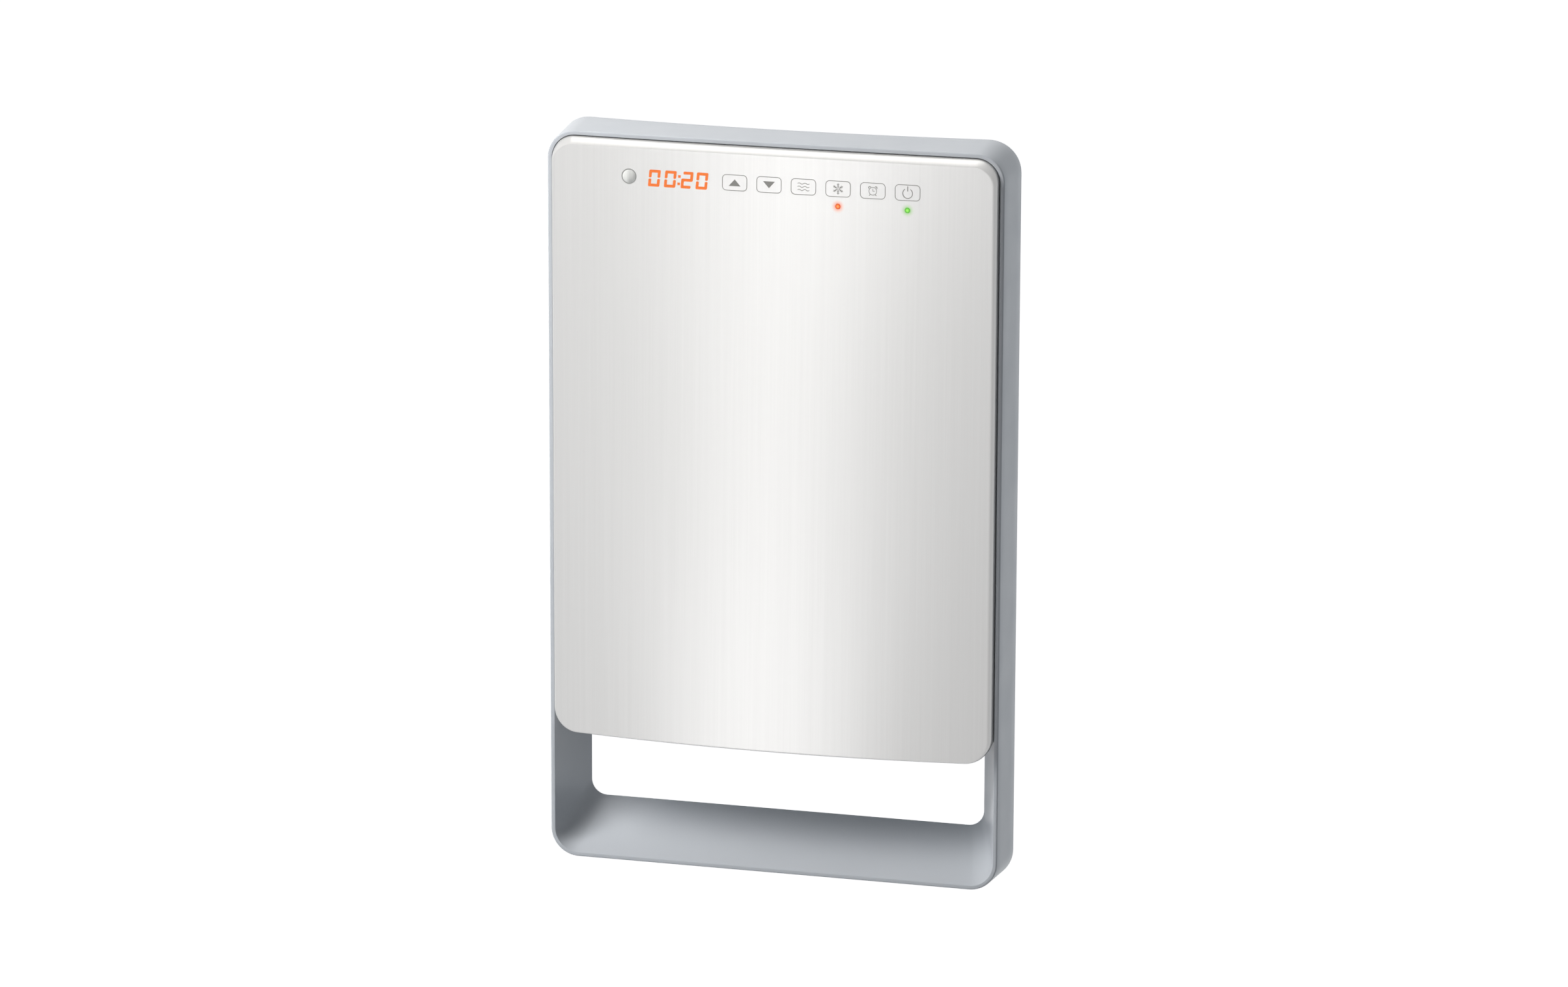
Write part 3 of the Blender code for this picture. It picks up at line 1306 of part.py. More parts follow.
def fan_running_gear(fan, rubber, steel, bronze):
    """Hub, shaft and pin that turn with the impeller, and the bearing that the pin runs in."""
    axis = Vector((1, 0, 0))
    half = FAN_LENGTH / 2
    inner = half - DISC_THICKNESS - GAP
    bore = SHAFT_BORE
    profile = [(inner - HUB_FLANGE_THICKNESS, bore), (inner - HUB_FLANGE_THICKNESS, HUB_FLANGE)]
    profile += [(inner, HUB_FLANGE), (inner, HUB_NECK), (half + GAP, HUB_NECK)]
    rim = half + GAP + HUB_FLANGE_THICKNESS / 2
    profile += [(half + GAP, HUB_NECK + GAP), (rim, HUB_NECK - GAP * 2), (rim, bore)]
    profile.append(profile[0])
    place("impeller_hub", turned(profile, axis), rubber, fan)
    radius = SHAFT_DIAMETER / 2
    near = inner - HUB_FLANGE_THICKNESS
    far = STACK_FAR + GAP + STRAP_STANDOFF + STRAP_THICKNESS + radius
    place("motor_shaft", rods([((near, 0, 0), (far, 0, 0))], radius), steel, fan)
    head = radius * 2
    start = -half + DISC_THICKNESS + GAP
    end = -PLATE_OUTER - BUSH_LENGTH + PLATE_SHEET
    pin = [(start + radius, 0), (start + radius, head), (start, head)]
    pin += [(start, radius), (end, radius), (end, 0)]
    place("impeller_pin", turned(pin, axis), steel, fan)
    middle = -(PLATE_INNER + PLATE_OUTER) / 2
    reach = BUSH_LENGTH / 2
    bush = ring_profile(middle - reach, middle + reach, bore, BUSH_RADIUS)
    place("bearing_bush", turned(bush, axis), bronze, fan)
    inside = BUSH_RADIUS + GAP
    near, far = -PLATE_OUTER - GAP, -PLATE_INNER + GAP
    flange = GROMMET_FLANGE
    small = END_CLEAR / 2
    grommet = [(near - flange, inside), (near - flange, GROMMET_RADIUS), (near, GROMMET_RADIUS)]
    grommet += [(near, GROMMET_NECK), (far, GROMMET_NECK), (far, GROMMET_RADIUS)]
    grommet += [(far + small, GROMMET_RADIUS), (far + small, inside), (near - flange, inside)]
    place("bearing_grommet", turned(grommet, axis), rubber, fan)


def motor_stator(fan, finish):
    """Laminated core with the rotor's bore above and the coil's window below."""
    half = STACK_WIDTH / 2
    chamfer = STACK_CHAMFER
    top, low = STACK_TOP, -STACK_DROP
    points = [(-half, low), (half, low), (half, top - chamfer), (half - chamfer, top)]
    points += [(chamfer - half, top), (-half, top - chamfer)]
    stack = place("motor_stator", prism(points, STACK_NEAR, STACK_FAR), finish, fan)
    inside = half - STACK_SIDE_LIMB
    near, far = STACK_NEAR - OVERRUN, STACK_FAR + OVERRUN
    window = ((near, -inside, low + STACK_LIMB), (far, inside, -POLE_RISE))
    cut(stack, "stator_window", boxes([window]))
    cut(stack, "stator_bore", rods([((near, 0, 0), (far, 0, 0))], ROTOR_RADIUS + GAP, FAN_SIDES))
    bores = []
    for y in motor_screw_places():
        bores.append(((near, y, 0), (far, y, 0)))
    cut(stack, "stator_screw_bores", rods(bores, SCREW_SHANK / 2 + GAP))
    return stack


def motor_screw_places():
    place_y = STACK_WIDTH / 2 - MOTOR_SCREW_INSET
    return (-place_y, place_y)


def motor_coil(fan, finish):
    """Winding on a bobbin round the core's lower limb."""
    length = STACK_WIDTH / 2 - STACK_SIDE_LIMB - GAP
    middle = -STACK_DROP + STACK_LIMB / 2
    limb = STACK_LIMB / 2 + GAP
    room = -POLE_RISE - GAP - (middle + limb)
    build = min(COIL_BUILD, room - COIL_CHEEK)
    across = STACK_THICKNESS / 2 + GAP
    centre = STACK_MIDDLE
    cheek = build + COIL_CHEEK
    body = boxes([((-across - build, -length, -limb - build), (across + build, length, limb + build))])
    bmesh.ops.bevel(
        body,
        geom=[edge for edge in body.edges if abs(edge.verts[0].co.y - edge.verts[1].co.y) > length],
        offset=build / 2,
        affect="EDGES",
        segments=3,
        profile=ROUND_PROFILE,
        material=-1,
    )
    coil = place("motor_coil", body, finish, fan, location=(centre, 0, middle))
    ends = []
    for side in (-1, 1):
        y = sorted((side * length, side * (length - COIL_CHEEK)))
        ends.append(((-across - cheek, y[0], -limb - cheek), (across + cheek, y[1], limb + cheek)))
    join(coil, "coil_cheeks", boxes(ends))
    hole = ((-across, -length - OVERRUN, -limb), (across, length + OVERRUN, limb))
    cut(coil, "coil_window", boxes([hole]))
    return coil


def motor_brackets(fan, finish):
    """Cast bridges that hold the rotor's bearings on both sides of the core."""
    for name, face, out in (
        ("motor_bracket_inner", STACK_NEAR - GAP, -1),
        ("motor_bracket_outer", STACK_FAR + GAP, 1),
    ):
        reach = STACK_WIDTH / 2
        half = STRAP_HALF_WIDTH
        start = face + out * STRAP_STANDOFF
        end = start + out * STRAP_THICKNESS
        low, high = sorted((start, end))
        strap = boxes([((low, -reach, -half), (high, reach, half))])
        bracket = place(name, strap, finish, fan)
        feet = []
        low, high = sorted((face, end))
        for side in (-1, 1):
            y = sorted((side * reach, side * (reach - STRAP_FOOT)))
            feet.append(((low, y[0], -half), (high, y[1], half)))
        join(bracket, name + "_feet", boxes(feet))
        boss_end = face + out * (ROTOR_OVERHANG + GAP)
        boss = rods([((boss_end, 0, 0), (end, 0, 0))], STRAP_BOSS_RADIUS)
        join(bracket, name + "_boss", boss)
        far = end + out * OVERRUN
        near = face - out * OVERRUN
        cut(bracket, name + "_bore", rods([((near, 0, 0), (far, 0, 0))], SHAFT_BORE))
        bores = [((near, y, 0), (far, y, 0)) for y in motor_screw_places()]
        cut(bracket, name + "_screw_bores", rods(bores, SCREW_SHANK / 2 + GAP))


def motor_rotor(fan, finish):
    """Squirrel-cage rotor on the shaft."""
    near, far = STACK_NEAR - ROTOR_OVERHANG, STACK_FAR + ROTOR_OVERHANG
    edge = ROTOR_OVERHANG
    profile = [(near, SHAFT_BORE), (near, ROTOR_RADIUS - edge), (near + edge, ROTOR_RADIUS)]
    profile += [(far - edge, ROTOR_RADIUS), (far, ROTOR_RADIUS - edge), (far, SHAFT_BORE)]
    profile.append(profile[0])
    return place("motor_rotor", turned(profile, Vector((1, 0, 0)), FAN_SIDES), finish, fan)


def motor_screws(fan, finish):
    """Two screws that clamp the brackets to the core."""
    start = STACK_FAR + GAP * 2 + STRAP_STANDOFF + STRAP_THICKNESS
    length = start - (STACK_NEAR - GAP - STRAP_STANDOFF)
    for name, y in zip(("front", "rear"), motor_screw_places()):
        screw = turned(screw_profile(length), Vector((-1, 0, 0)), SCREW_SIDES)
        place("motor_screw_" + name, screw, finish, fan, location=(start, y, 0))


def heater_frame(element, finish):
    """Plastic frame round the heating element, with a ledge that carries it."""
    sleeve = rectangular_tube(ELEMENT_LENGTH, ELEMENT_WIDTH, ELEMENT_WALL, -ELEMENT_HEIGHT, 0)
    frame = place("heater_frame", sleeve, finish, element)
    inner_length = ELEMENT_LENGTH - ELEMENT_WALL
    inner_width = ELEMENT_WIDTH - ELEMENT_WALL
    low = -ELEMENT_HEIGHT
    wall = ELEMENT_WALL / 2 + ELEMENT_LEDGE
    ledge = rectangular_tube(inner_length, inner_width, wall, low, low + ELEMENT_LEDGE)
    join(frame, "heater_frame_ledge", ledge)
    return frame


def heater_core(element, finish):
    """Ceramic bars pressed between aluminium fins."""
    half = ELEMENT_LENGTH / 2 - ELEMENT_WALL - GAP
    wide = ELEMENT_WIDTH / 2 - ELEMENT_WALL - GAP
    low = -ELEMENT_HEIGHT + ELEMENT_LEDGE + GAP
    high = -CORE_INSET
    middle = (low + high) / 2
    bars = []
    for i in range(CORE_BARS):
        y = wide * 2 * ((i + 1 / 2) / CORE_BARS - 1 / 2)
        reach = CORE_BAR_WIDTH / 2
        rise = (high - low) / 4
        bars.append(((-half, y - reach, middle - rise), (half, y + reach, middle + rise)))
    core = place("heater_core", boxes(bars), finish, element)
    fins = []
    pitch = (half * 2 - FIN_THICKNESS * 2) / (FIN_COUNT - 1)
    for i in range(FIN_COUNT):
        x = pitch * (i - (FIN_COUNT - 1) / 2)
        reach = FIN_THICKNESS / 2
        fins.append(((x - reach, -wide, low), (x + reach, wide, high)))
    join(core, "heater_fins", boxes(fins))
    return core


def heater_terminals(element, finish):
    """Bent tabs at the element's right end, standing on its fins."""
    half = ELEMENT_LENGTH / 2 - ELEMENT_WALL - GAP
    reach, thick = TERMINAL_WIDTH / 2, TERMINAL_THICKNESS
    low = -CORE_INSET + GAP
    points = [(-thick, low), (reach, low), (reach, low + thick), (0, low + thick)]
    points += [(0, TERMINAL_RISE), (-thick, TERMINAL_RISE)]
    eye = TERMINAL_RISE * TERMINAL_EYE_SHARE
    for name, side in (("front", -1), ("rear", 1)):
        spot = (half - reach, side * (ELEMENT_WIDTH / 2 - ELEMENT_WALL) / 2, 0)
        tab = place("heater_terminal_" + name, prism(points, -reach, reach), finish, element, spot)
        hole = rods([((0, -OVERRUN, eye), (0, OVERRUN / 2, eye))], reach / 3, SCREW_SIDES)
        cut(tab, "terminal_eye_" + name, hole)


def thermal_cutout(element, finish):
    """Bimetal disc switch on the front wall of the element's frame."""
    start = ELEMENT_WIDTH / 2 + GAP
    z = -ELEMENT_HEIGHT / 2
    radius = CUTOUT_RADIUS
    lip = CUTOUT_HEIGHT / 4
    profile = [(start, 0), (start, radius), (start + lip, radius), (start + lip * 2, radius * CUTOUT_CAP_SHARE)]
    profile += [(start + CUTOUT_HEIGHT, radius * CUTOUT_CAP_SHARE), (start + CUTOUT_HEIGHT, 0)]
    body = turned(profile, Vector((0, -1, 0)))
    switch = place("thermal_cutout", body, finish, element, location=(0, 0, z))
    tags = []
    for side in (-1, 1):
        x = sorted((side * radius / 2, side * (radius / 2 + TERMINAL_THICKNESS)))
        half = TERMINAL_WIDTH / 2
        deep = start + CUTOUT_HEIGHT
        tags.append(((x[0], -deep - CUTOUT_TAG_LENGTH, -half), (x[1], -deep + lip, half)))
    join(switch, "cutout_tags", boxes(tags))
    return switch


def cased(name, size, finish, parent, location):
    """Small component case with eased edges, standing on the board's front."""
    length, rise, deep = size
    body = boxes([((-length / 2, -deep, -rise / 2), (length / 2, 0, rise / 2))])
    bmesh.ops.bevel(
        body,
        geom=[edge for edge in body.edges],
        offset=CASE_ROUND,
        affect="EDGES",
        segments=1,
        profile=ROUND_PROFILE,
        material=-1,
    )
    return place(name, body, finish, parent, location=location)


def power_electronics(root, board_finish, relay_finish, capacitor_finish):
    """Mains board on its posts, with the two heat-stage relays and the filter capacitor."""
    rear = HOUSING_FLOOR + POWER_STANDOFF
    half, rise = POWER_LENGTH / 2, POWER_RISE / 2
    deck = boxes([((-half, -BOARD_THICKNESS, -rise), (half, 0, rise))])
    spot = (POWER_PLACE, -rear, POWER_HEIGHT)
    place("power_board", deck, board_finish, root, location=spot)
    face = -(rear + BOARD_THICKNESS + GAP)
    for name, share in zip(("relay_low_heat", "relay_high_heat"), RELAY_PLACES_SHARE):
        x = POWER_PLACE + POWER_LENGTH * share
        size = (RELAY_LENGTH, RELAY_WIDTH, RELAY_HEIGHT)
        cased(name, size, relay_finish, root, (x, face, POWER_HEIGHT))
    x = POWER_PLACE + POWER_LENGTH * CAPACITOR_PLACE_SHARE
    size = (CAPACITOR_LENGTH, CAPACITOR_WIDTH, CAPACITOR_HEIGHT)
    cased("filter_capacitor", size, capacitor_finish, root, (x, face, POWER_HEIGHT))


def terminal_block(root, finish):
    """Three-pole mains block on the housing's back wall."""
    half, rise = BLOCK_LENGTH / 2, BLOCK_WIDTH / 2
    body = boxes([((-half, -BLOCK_HEIGHT, -rise), (half, 0, rise))])
    seat = -(HOUSING_FLOOR + GAP)
    spot = (BLOCK_PLACE, seat, POWER_FOOT + rise)
    block = place("terminal_block", body, finish, root, location=spot)
    entries = bmesh.new()
    for i in range(BLOCK_POLES):
        x = BLOCK_LENGTH * ((i + 1 / 2) / BLOCK_POLES - 1 / 2)
        y = -BLOCK_HEIGHT / 3
        add_rod(entries, (x, y, -rise - OVERRUN), (x, y, rise + OVERRUN), BLOCK_ENTRY / 2, SCREW_SIDES)
    cut(block, "block_wire_entries", entries)
    wells = bmesh.new()
    for i in range(BLOCK_POLES):
        x = BLOCK_LENGTH * ((i + 1 / 2) / BLOCK_POLES - 1 / 2)
        for side in (-1, 1):
            z = side * rise / 2
            low = -BLOCK_HEIGHT - OVERRUN
            add_rod(wells, (x, low, z), (x, -BLOCK_HEIGHT / 2, z), BLOCK_ENTRY / 2 - GAP, SCREW_SIDES)
    cut(block, "block_screw_wells", wells)
    return block


def cable_inlet(root, finish):
    """Rubber bush in the housing's bottom wall, where the mains lead enters."""
    near = housing_taper(INLET_DEPTH + INLET_FLANGE)
    far = housing_taper(INLET_DEPTH - INLET_FLANGE)
    low, high = near - GAP, far + HOUSING_WALL + GAP
    thick = INLET_FLANGE_THICKNESS
    profile = [(low - thick, INLET_BORE), (low - thick, INLET_FLANGE - thick / 2)]
    profile += [(low - thick / 2, INLET_FLANGE), (low, INLET_FLANGE), (low, INLET_NECK)]
    profile += [(high, INLET_NECK), (high, INLET_FLANGE - thick / 2), (high + thick, INLET_NECK)]
    profile += [(high + thick, INLET_BORE), (low - thick, INLET_BORE)]
    inlet = turned(profile, Vector((0, 0, 1)))
    spot = (INLET_PLACE, -INLET_DEPTH, HOUSING_BOTTOM)
    return place("cable_inlet", inlet, finish, root, location=spot)


def main():
    clear_scene()
    moulding = material("frame moulding", (0.50, 0.55, 0.60), 0.42)
    brushed = material("brushed panel", (0.80, 0.79, 0.78), 0.35, 0.6)
    inner = material("inner moulding", (0.30, 0.31, 0.33), 0.55)
    shell = material("housing moulding", (0.48, 0.51, 0.54), 0.5)
    zinc = material("zinc plated steel", (0.58, 0.59, 0.60), 0.35, 1.0)
    rubber = material("rubber", (0.03, 0.03, 0.03), 0.8)
    board = material("circuit board", (0.02, 0.16, 0.07), 0.45)
    lamp = material("lamp block", (0.05, 0.05, 0.05), 0.4)
    foam = material("sensing foam", (0.08, 0.08, 0.09), 0.9)
    orange = material("orange light", (1.0, 0.25, 0.05), 0.3, 0.0, 1.0)
    green = material("green light", (0.25, 0.85, 0.1), 0.3, 0.0, 1.0)
    smoky = material("smoky lens", (0.42, 0.42, 0.41), 0.15)
    can = material("sensor can", (0.45, 0.45, 0.46), 0.3, 1.0)
    bronze = material("sintered bronze", (0.45, 0.27, 0.12), 0.45, 1.0)
    cage = material("fan moulding", (0.05, 0.05, 0.055), 0.5)
    core = material("core laminations", (0.22, 0.23, 0.25), 0.5, 0.8)
    copper = material("coil winding", (0.5, 0.16, 0.06), 0.4, 0.6)
    cast = material("cast zinc", (0.5, 0.5, 0.52), 0.45, 0.9)
    high_heat = material("heat resistant moulding", (0.55, 0.5, 0.42), 0.6)
    fins = material("aluminium fins", (0.72, 0.73, 0.75), 0.3, 1.0)
    relay = material("relay case", (0.05, 0.12, 0.4), 0.4)
    film = material("capacitor case", (0.62, 0.5, 0.1), 0.4)
    block = material("block moulding", (0.75, 0.74, 0.7), 0.5)

    root = datum("heater", 0, 0, -BRACKET_HEIGHT)
    controls = datum("controls", 0, BOARD_FACE, KEY_ROW_HEIGHT, root)
    fan = datum("fan_axis", FAN_PLACE, FAN_DEPTH, FAN_HEIGHT, root)
    element = datum("element", FAN_PLACE, ELEMENT_DEPTH, ELEMENT_TOP, root)

    towel_frame(root, moulding)
    front_panel(root, brushed)
    front_carrier(root, inner)
    rear_housing(root, shell)
    intake_grille(root, inner)
    outlet_grille(element, inner)
    outlet_duct(element, zinc)
    wall_bracket(root, zinc)
    wall_bumpers(root, rubber)
    control_board(controls, board)
    display_module(controls, lamp)
    touch_pads(controls, foam)
    indicators(controls, orange, green)
    sensor(controls, smoky, can)
    screws(root, zinc)
    fan_scroll(fan, zinc)
    fan_tongue(fan, zinc)
    end_plates(fan, zinc)
    fan_impeller(fan, cage)
    fan_running_gear(fan, rubber, zinc, bronze)
    motor_stator(fan, core)
    motor_coil(fan, copper)
    motor_brackets(fan, cast)
    motor_rotor(fan, core)
    motor_screws(fan, zinc)
    heater_frame(element, high_heat)
    heater_core(element, fins)
    heater_terminals(element, zinc)
    thermal_cutout(element, block)
    power_electronics(root, board, relay, film)
    terminal_block(root, block)
    cable_inlet(root, rubber)


main()
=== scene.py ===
"""Looks of a wall-hung bathroom fan heater with a towel rail.

Lengths are in metres. X points right, Y into the wall and Z up, and the origin is the middle of
the wall bracket's back face. Depths are measured from the wall, and heights from the bottom of
the surround's front rim. Each finished piece is set down by the bracket's height.
"""

import json
import math

import bmesh
import bpy
from mathutils import Matrix, Vector


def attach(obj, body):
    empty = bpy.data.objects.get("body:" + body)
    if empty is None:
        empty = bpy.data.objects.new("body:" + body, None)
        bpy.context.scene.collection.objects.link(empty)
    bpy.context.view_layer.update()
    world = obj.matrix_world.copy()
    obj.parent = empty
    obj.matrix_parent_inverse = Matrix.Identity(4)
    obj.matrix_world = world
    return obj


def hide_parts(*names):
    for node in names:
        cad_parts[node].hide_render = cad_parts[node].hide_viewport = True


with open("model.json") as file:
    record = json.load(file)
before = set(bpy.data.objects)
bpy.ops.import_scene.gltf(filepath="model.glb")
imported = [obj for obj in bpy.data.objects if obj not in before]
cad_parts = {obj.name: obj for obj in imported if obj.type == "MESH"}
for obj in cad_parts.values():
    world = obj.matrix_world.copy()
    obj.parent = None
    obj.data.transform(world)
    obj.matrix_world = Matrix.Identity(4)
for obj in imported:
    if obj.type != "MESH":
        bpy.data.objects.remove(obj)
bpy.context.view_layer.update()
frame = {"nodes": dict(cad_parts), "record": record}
nodes = frame["nodes"]

# Surround
BRACKET_HEIGHT = 0.36
FRAME_HALF = 0.138
FRAME_HEIGHT = 0.446
FRAME_DEPTH = 0.033
FRAME_DRAFT = 0.0024
FRAME_CORNER = 0.017
FRAME_WALL = 0.0025
RIM_DEPTH = 0.097
RIM_LAND = 0.0024
RIM_ROUND = 0.0008
LAND_ROUND = 0.0004
REAR_ROUND = 0.0005
THROAT_NARROWING = 0.0135
THROAT_SCOOP_SHARE = 0.35
THROAT_CORNER = 0.0095
RAIL_RISE = 0.0274
TOP_FRONT_BOW = 0.0022
TOP_REAR_BOW = 0.0086
POCKET_START_SHARE = 0.45
RIB_THICKNESS = 0.0018
RAIL_RIB_SHARES = (-0.66, -0.33, 0.0, 0.33, 0.66)
SIDE_RIB_SHARES = (0.28, 0.46, 0.64, 0.82)
TOP_RIB_SHARES = (-0.5, 0.0, 0.5)
RIB_OVERRUN = 0.006
TOP_RIB_TALL = 0.02
RIM_STEPS = 5
EDGE_STEPS = 3
WALL_SHARES = (0.75, 0.5, 0.25)
THROAT_STEPS = 14
LUG_FRONT = 0.086
LUG_THICKNESS = 0.003
LUG_WIDTH = 0.014
SCREW_X = 0.111
SCREW_HEIGHTS = (0.096, 0.4147)
SCREW_BORE = 0.0018

# Front panel
PANEL_HALF = 0.1349
PANEL_TOP = 0.4429
PANEL_BOTTOM = 0.0799
PANEL_TOP_CORNER = 0.0136
PANEL_BOTTOM_CORNER = 0.0155
PANEL_PROUD = 0.0055
PANEL_TOP_BULGE = 0.0015
PANEL_BOTTOM_BULGE = 0.0104
PANEL_BEND = 0.0024
PANEL_TOP_BEND = 0.0040
PANEL_TOP_FORM = 1.8
PANEL_LEAD = 0.0006
PANEL_BEND_DEPTH = 0.0055
PANEL_HEM = 0.001
PANEL_HEM_RETURN = 0.005
PANEL_SHEET = 0.0008
FLANGE_REACH_SHARE = 0.0553
FACE_COLUMNS = 56
FACE_ROWS = 36
CUT_TOLERANCE = 0.00002

# Rear housing and what it stands on
HOUSING_HALF = 0.1197
HOUSING_BOTTOM = 0.083
HOUSING_TOP = 0.4277
HOUSING_CORNER = 0.01
HOUSING_BACK = 0.006
HOUSING_FRONT = 0.0827
HOUSING_WALL = 0.0025
HOUSING_ROUND = 0.008
HOUSING_DRAFT = 0.0008
HOUSING_STEPS = 10
HOUSING_CORNER_STEPS = 12
BOSS_RADIUS = 0.005
WELL_RADIUS = 0.0035
WELL_FLOOR = 0.0797
WELL_CHAMFER = 0.0006
POST_RADIUS = 0.0035
POST_TOP = 0.0162
POST_PLACES = ((-0.079, 0.309), (-0.079, 0.355), (0.019, 0.309), (0.019, 0.355))
INTAKE_HALF = 0.085
INTAKE_DEPTHS = (0.018, 0.054)
OUTLET_REACH = (-0.1, 0.062)
OUTLET_DEPTHS = (0.014, 0.06)
HOOK_X = 0.075
HOOK_HALF = 0.0063
HOOK_HEIGHTS = (0.3753, 0.3853)
INLET_X = 0.09
INLET_DEPTH = 0.022
INLET_RADIUS = 0.0063
PAD_PLACE = (0.0977, 0.105)
PAD_RADIUS = 0.007
PAD_STEM = 0.003
PAD_ROUND = 0.0014
PAD_TIP = 0.0088
PAD_STEPS = 6
PAD_GROOVE_SHARES = (0.42, 0.48, 0.54)
PAD_GROOVE = 0.0004
PAD_POINT_SHARE = 2 / 3
PAD_BARB_SHARE = 1 / 3

# Controls
KEY_ROW = 0.422
KEY_START = -0.0218
KEY_PITCH = 0.02076
KEY_LENGTH = 0.0152
KEY_TALL = 0.0096
KEY_CORNER = 0.0025
KEY_CORNER_STEPS = 8
KEY_LINE = 0.0004
LENS_X = -0.0862
LENS_RADIUS = 0.0044
LENS_DOME = 0.0010
LENS_WALL = 0.001
LENS_FLANGE_RADIUS = 0.0058
LENS_STEPS = 10
COLLAR_WIDTH = 0.0004
COLLAR_DROP = 0.0008
COLLAR_RISE = 0.0002
BOARD_FACE = 0.094
LIGHT_X = (0.04048, 0.082)
LIGHT_HEIGHT = 0.4116
LIGHT_RADIUS = 0.0015
LIGHT_STEPS = 6
GUIDE_BASE_RADIUS = 0.0025
GUIDE_BASE_TALL = 0.003
PRINT_THICKNESS = 0.00006
ARROW_WIDE = 0.0072
ARROW_TALL = 0.0040
WAVE_RADIUS = 0.0013
WAVE_BEND = math.radians(84)
WAVE_PITCH = 0.0019
WAVE_LINE = 0.0004
WAVE_ARCS = 4
WAVE_STEPS = 8
FLAKE_RING = 0.0008
FLAKE_RING_LINE = 0.00034
FLAKE_ARMS = 6
FLAKE_ARM = 0.0024
FLAKE_ARM_LINE = 0.0004
FLAKE_ARM_MIDDLE = 0.0021
FLAKE_TWIGS = ((0.0013, 0.0008), (0.0022, 0.0009))
FLAKE_TWIG_LINE = 0.0003
FLAKE_TWIG_LEAN = math.radians(52)
CLOCK_DROP = 0.0002
CLOCK_RADIUS = 0.0023
CLOCK_LINE = 0.00036
CLOCK_HANDS = ((0.0014, math.pi / 2), (0.0012, 0.0))
CLOCK_HAND_LINE = 0.0003
BELL_REACH = 0.0027
BELL_RADIUS = 0.0007
BELL_LINE = 0.0005
BELL_LEAN = math.radians(42)
BELL_STEPS = 10
FOOT_REACH = 0.0029
FOOT_LENGTH = 0.0011
FOOT_LINE = 0.0004
FOOT_LEAN = math.radians(38)
SWITCH_DROP = 0.0004
SWITCH_RADIUS = 0.0029
SWITCH_LINE = 0.0005
SWITCH_OPENING = math.radians(33)
SWITCH_BAR = 0.0030
SWITCH_BAR_LINE = 0.00055
SWITCH_BAR_MIDDLE = 0.00275
DIGIT_STARTS = (-0.0741, -0.0644, -0.0542, -0.0451)
DIGIT_DROP = 0.0002
DIGIT_LEAN = math.radians(5.5)
DIGIT_TALL = 0.0100
DIGIT_WIDE = 0.0070
DIGIT_STROKE = 0.0017
DIGIT_GAP = 0.0005
POINT_SHARE = 0.45
CORNER_SHARE = 0.45
DIGIT_CORNER_STEPS = 4
COLON_X = -0.0555
COLON_HEIGHTS = (0.4237, 0.4193)
COLON_SIZE = 0.0016

OVERRUN = 0.003
GAP = 0.0003
SAME_PLACE = 0.000001
ARC_STEPS = 16
SIDE_CUTS = 23
BEND_STEPS = 9
RING_STEPS = 40
ROD_SIDES = 24
BORE_SIDES = 40
ROUND_SIDES = 48
LENS_SIDES = 64
SMOOTH_ANGLE = math.radians(33)


# Camera, light and floor

CAMERA_PLACE = (1.0281, -3.8708, 0.8925)
CAMERA_TURN = (1.3162, -0.0033, 0.2652)
CAMERA_LENS = 157.34
SENSOR_WIDTH = 36.0
NEAR_CLIP = 0.1
FAR_CLIP = 60.0
FLOOR_DROP = 2.6
FLOOR_HALF = 20.0
FLOOR_SHIFT = 4.0
FLOOR_TONE = 0.9
FLOOR_LIFT = 0.93
ROOM_LIGHT = 0.09
ROOM_TINT = (0.92, 0.98, 1.06)
WHITE = (1.0, 1.0, 1.0)
IVORY = (1.0, 1.0, 0.97)
ROSY = (1.02, 1.0, 0.97)
COOL = (0.97, 1.0, 1.03)
COLD = (0.94, 1.0, 1.05)
ICY = (0.93, 1.0, 1.05)
MIDDLE = (0, 0, -0.15)

# Each lamp's name, place, aim, size, watts, colour, and whether reflections show it
SOFTBOXES = (
    ("wall side softbox", (-0.3, 0.8, 2.6), (0, 0, 0), (2.0, 1.6), 17, IVORY, True),
    ("high softbox", (-1.9, -1.7, 2.2), MIDDLE, (1.2, 1.2), 25, COOL, False),
    ("front softbox", (-0.6, -3.0, 1.2), MIDDLE, (1.4, 1.4), 3.8, COOL, False),
    ("left card", (-0.75, -0.6, -0.15), (-0.1, 0, -0.2), (0.4, 0.8), 1.7, COLD, False),
    ("near softbox", (-0.82, -0.74, 0.87), MIDDLE, (0.6, 0.6), 18.5, ROSY, False),
    ("backdrop softbox", (1.5, 2.0, 0.1), MIDDLE, (3.0, 3.0), 36, ICY, False),
    ("upper strip light", (-0.285, -1.30, -0.02), (0, 0, -0.02), (0.06, 0.30), 0.46, WHITE, True),
    ("middle strip light", (-0.31, -1.30, -0.32), (0, 0, -0.32), (0.22, 0.30), 0.34, WHITE, True),
    ("lower strip light", (-0.33, -1.30, -0.64), (0, 0, -0.64), (0.46, 0.34), 0.78, WHITE, True),
)


def stand_camera():
    lens = bpy.data.cameras.new("camera")
    lens.sensor_fit = "HORIZONTAL"
    lens.sensor_width = SENSOR_WIDTH
    lens.lens = CAMERA_LENS
    lens.clip_start = NEAR_CLIP
    lens.clip_end = FAR_CLIP
    camera = bpy.data.objects.new("camera", lens)
    camera.location = CAMERA_PLACE
    camera.rotation_euler = CAMERA_TURN
    bpy.context.scene.collection.objects.link(camera)
    bpy.context.scene.camera = camera
    bpy.context.scene.view_settings.view_transform = "Standard"


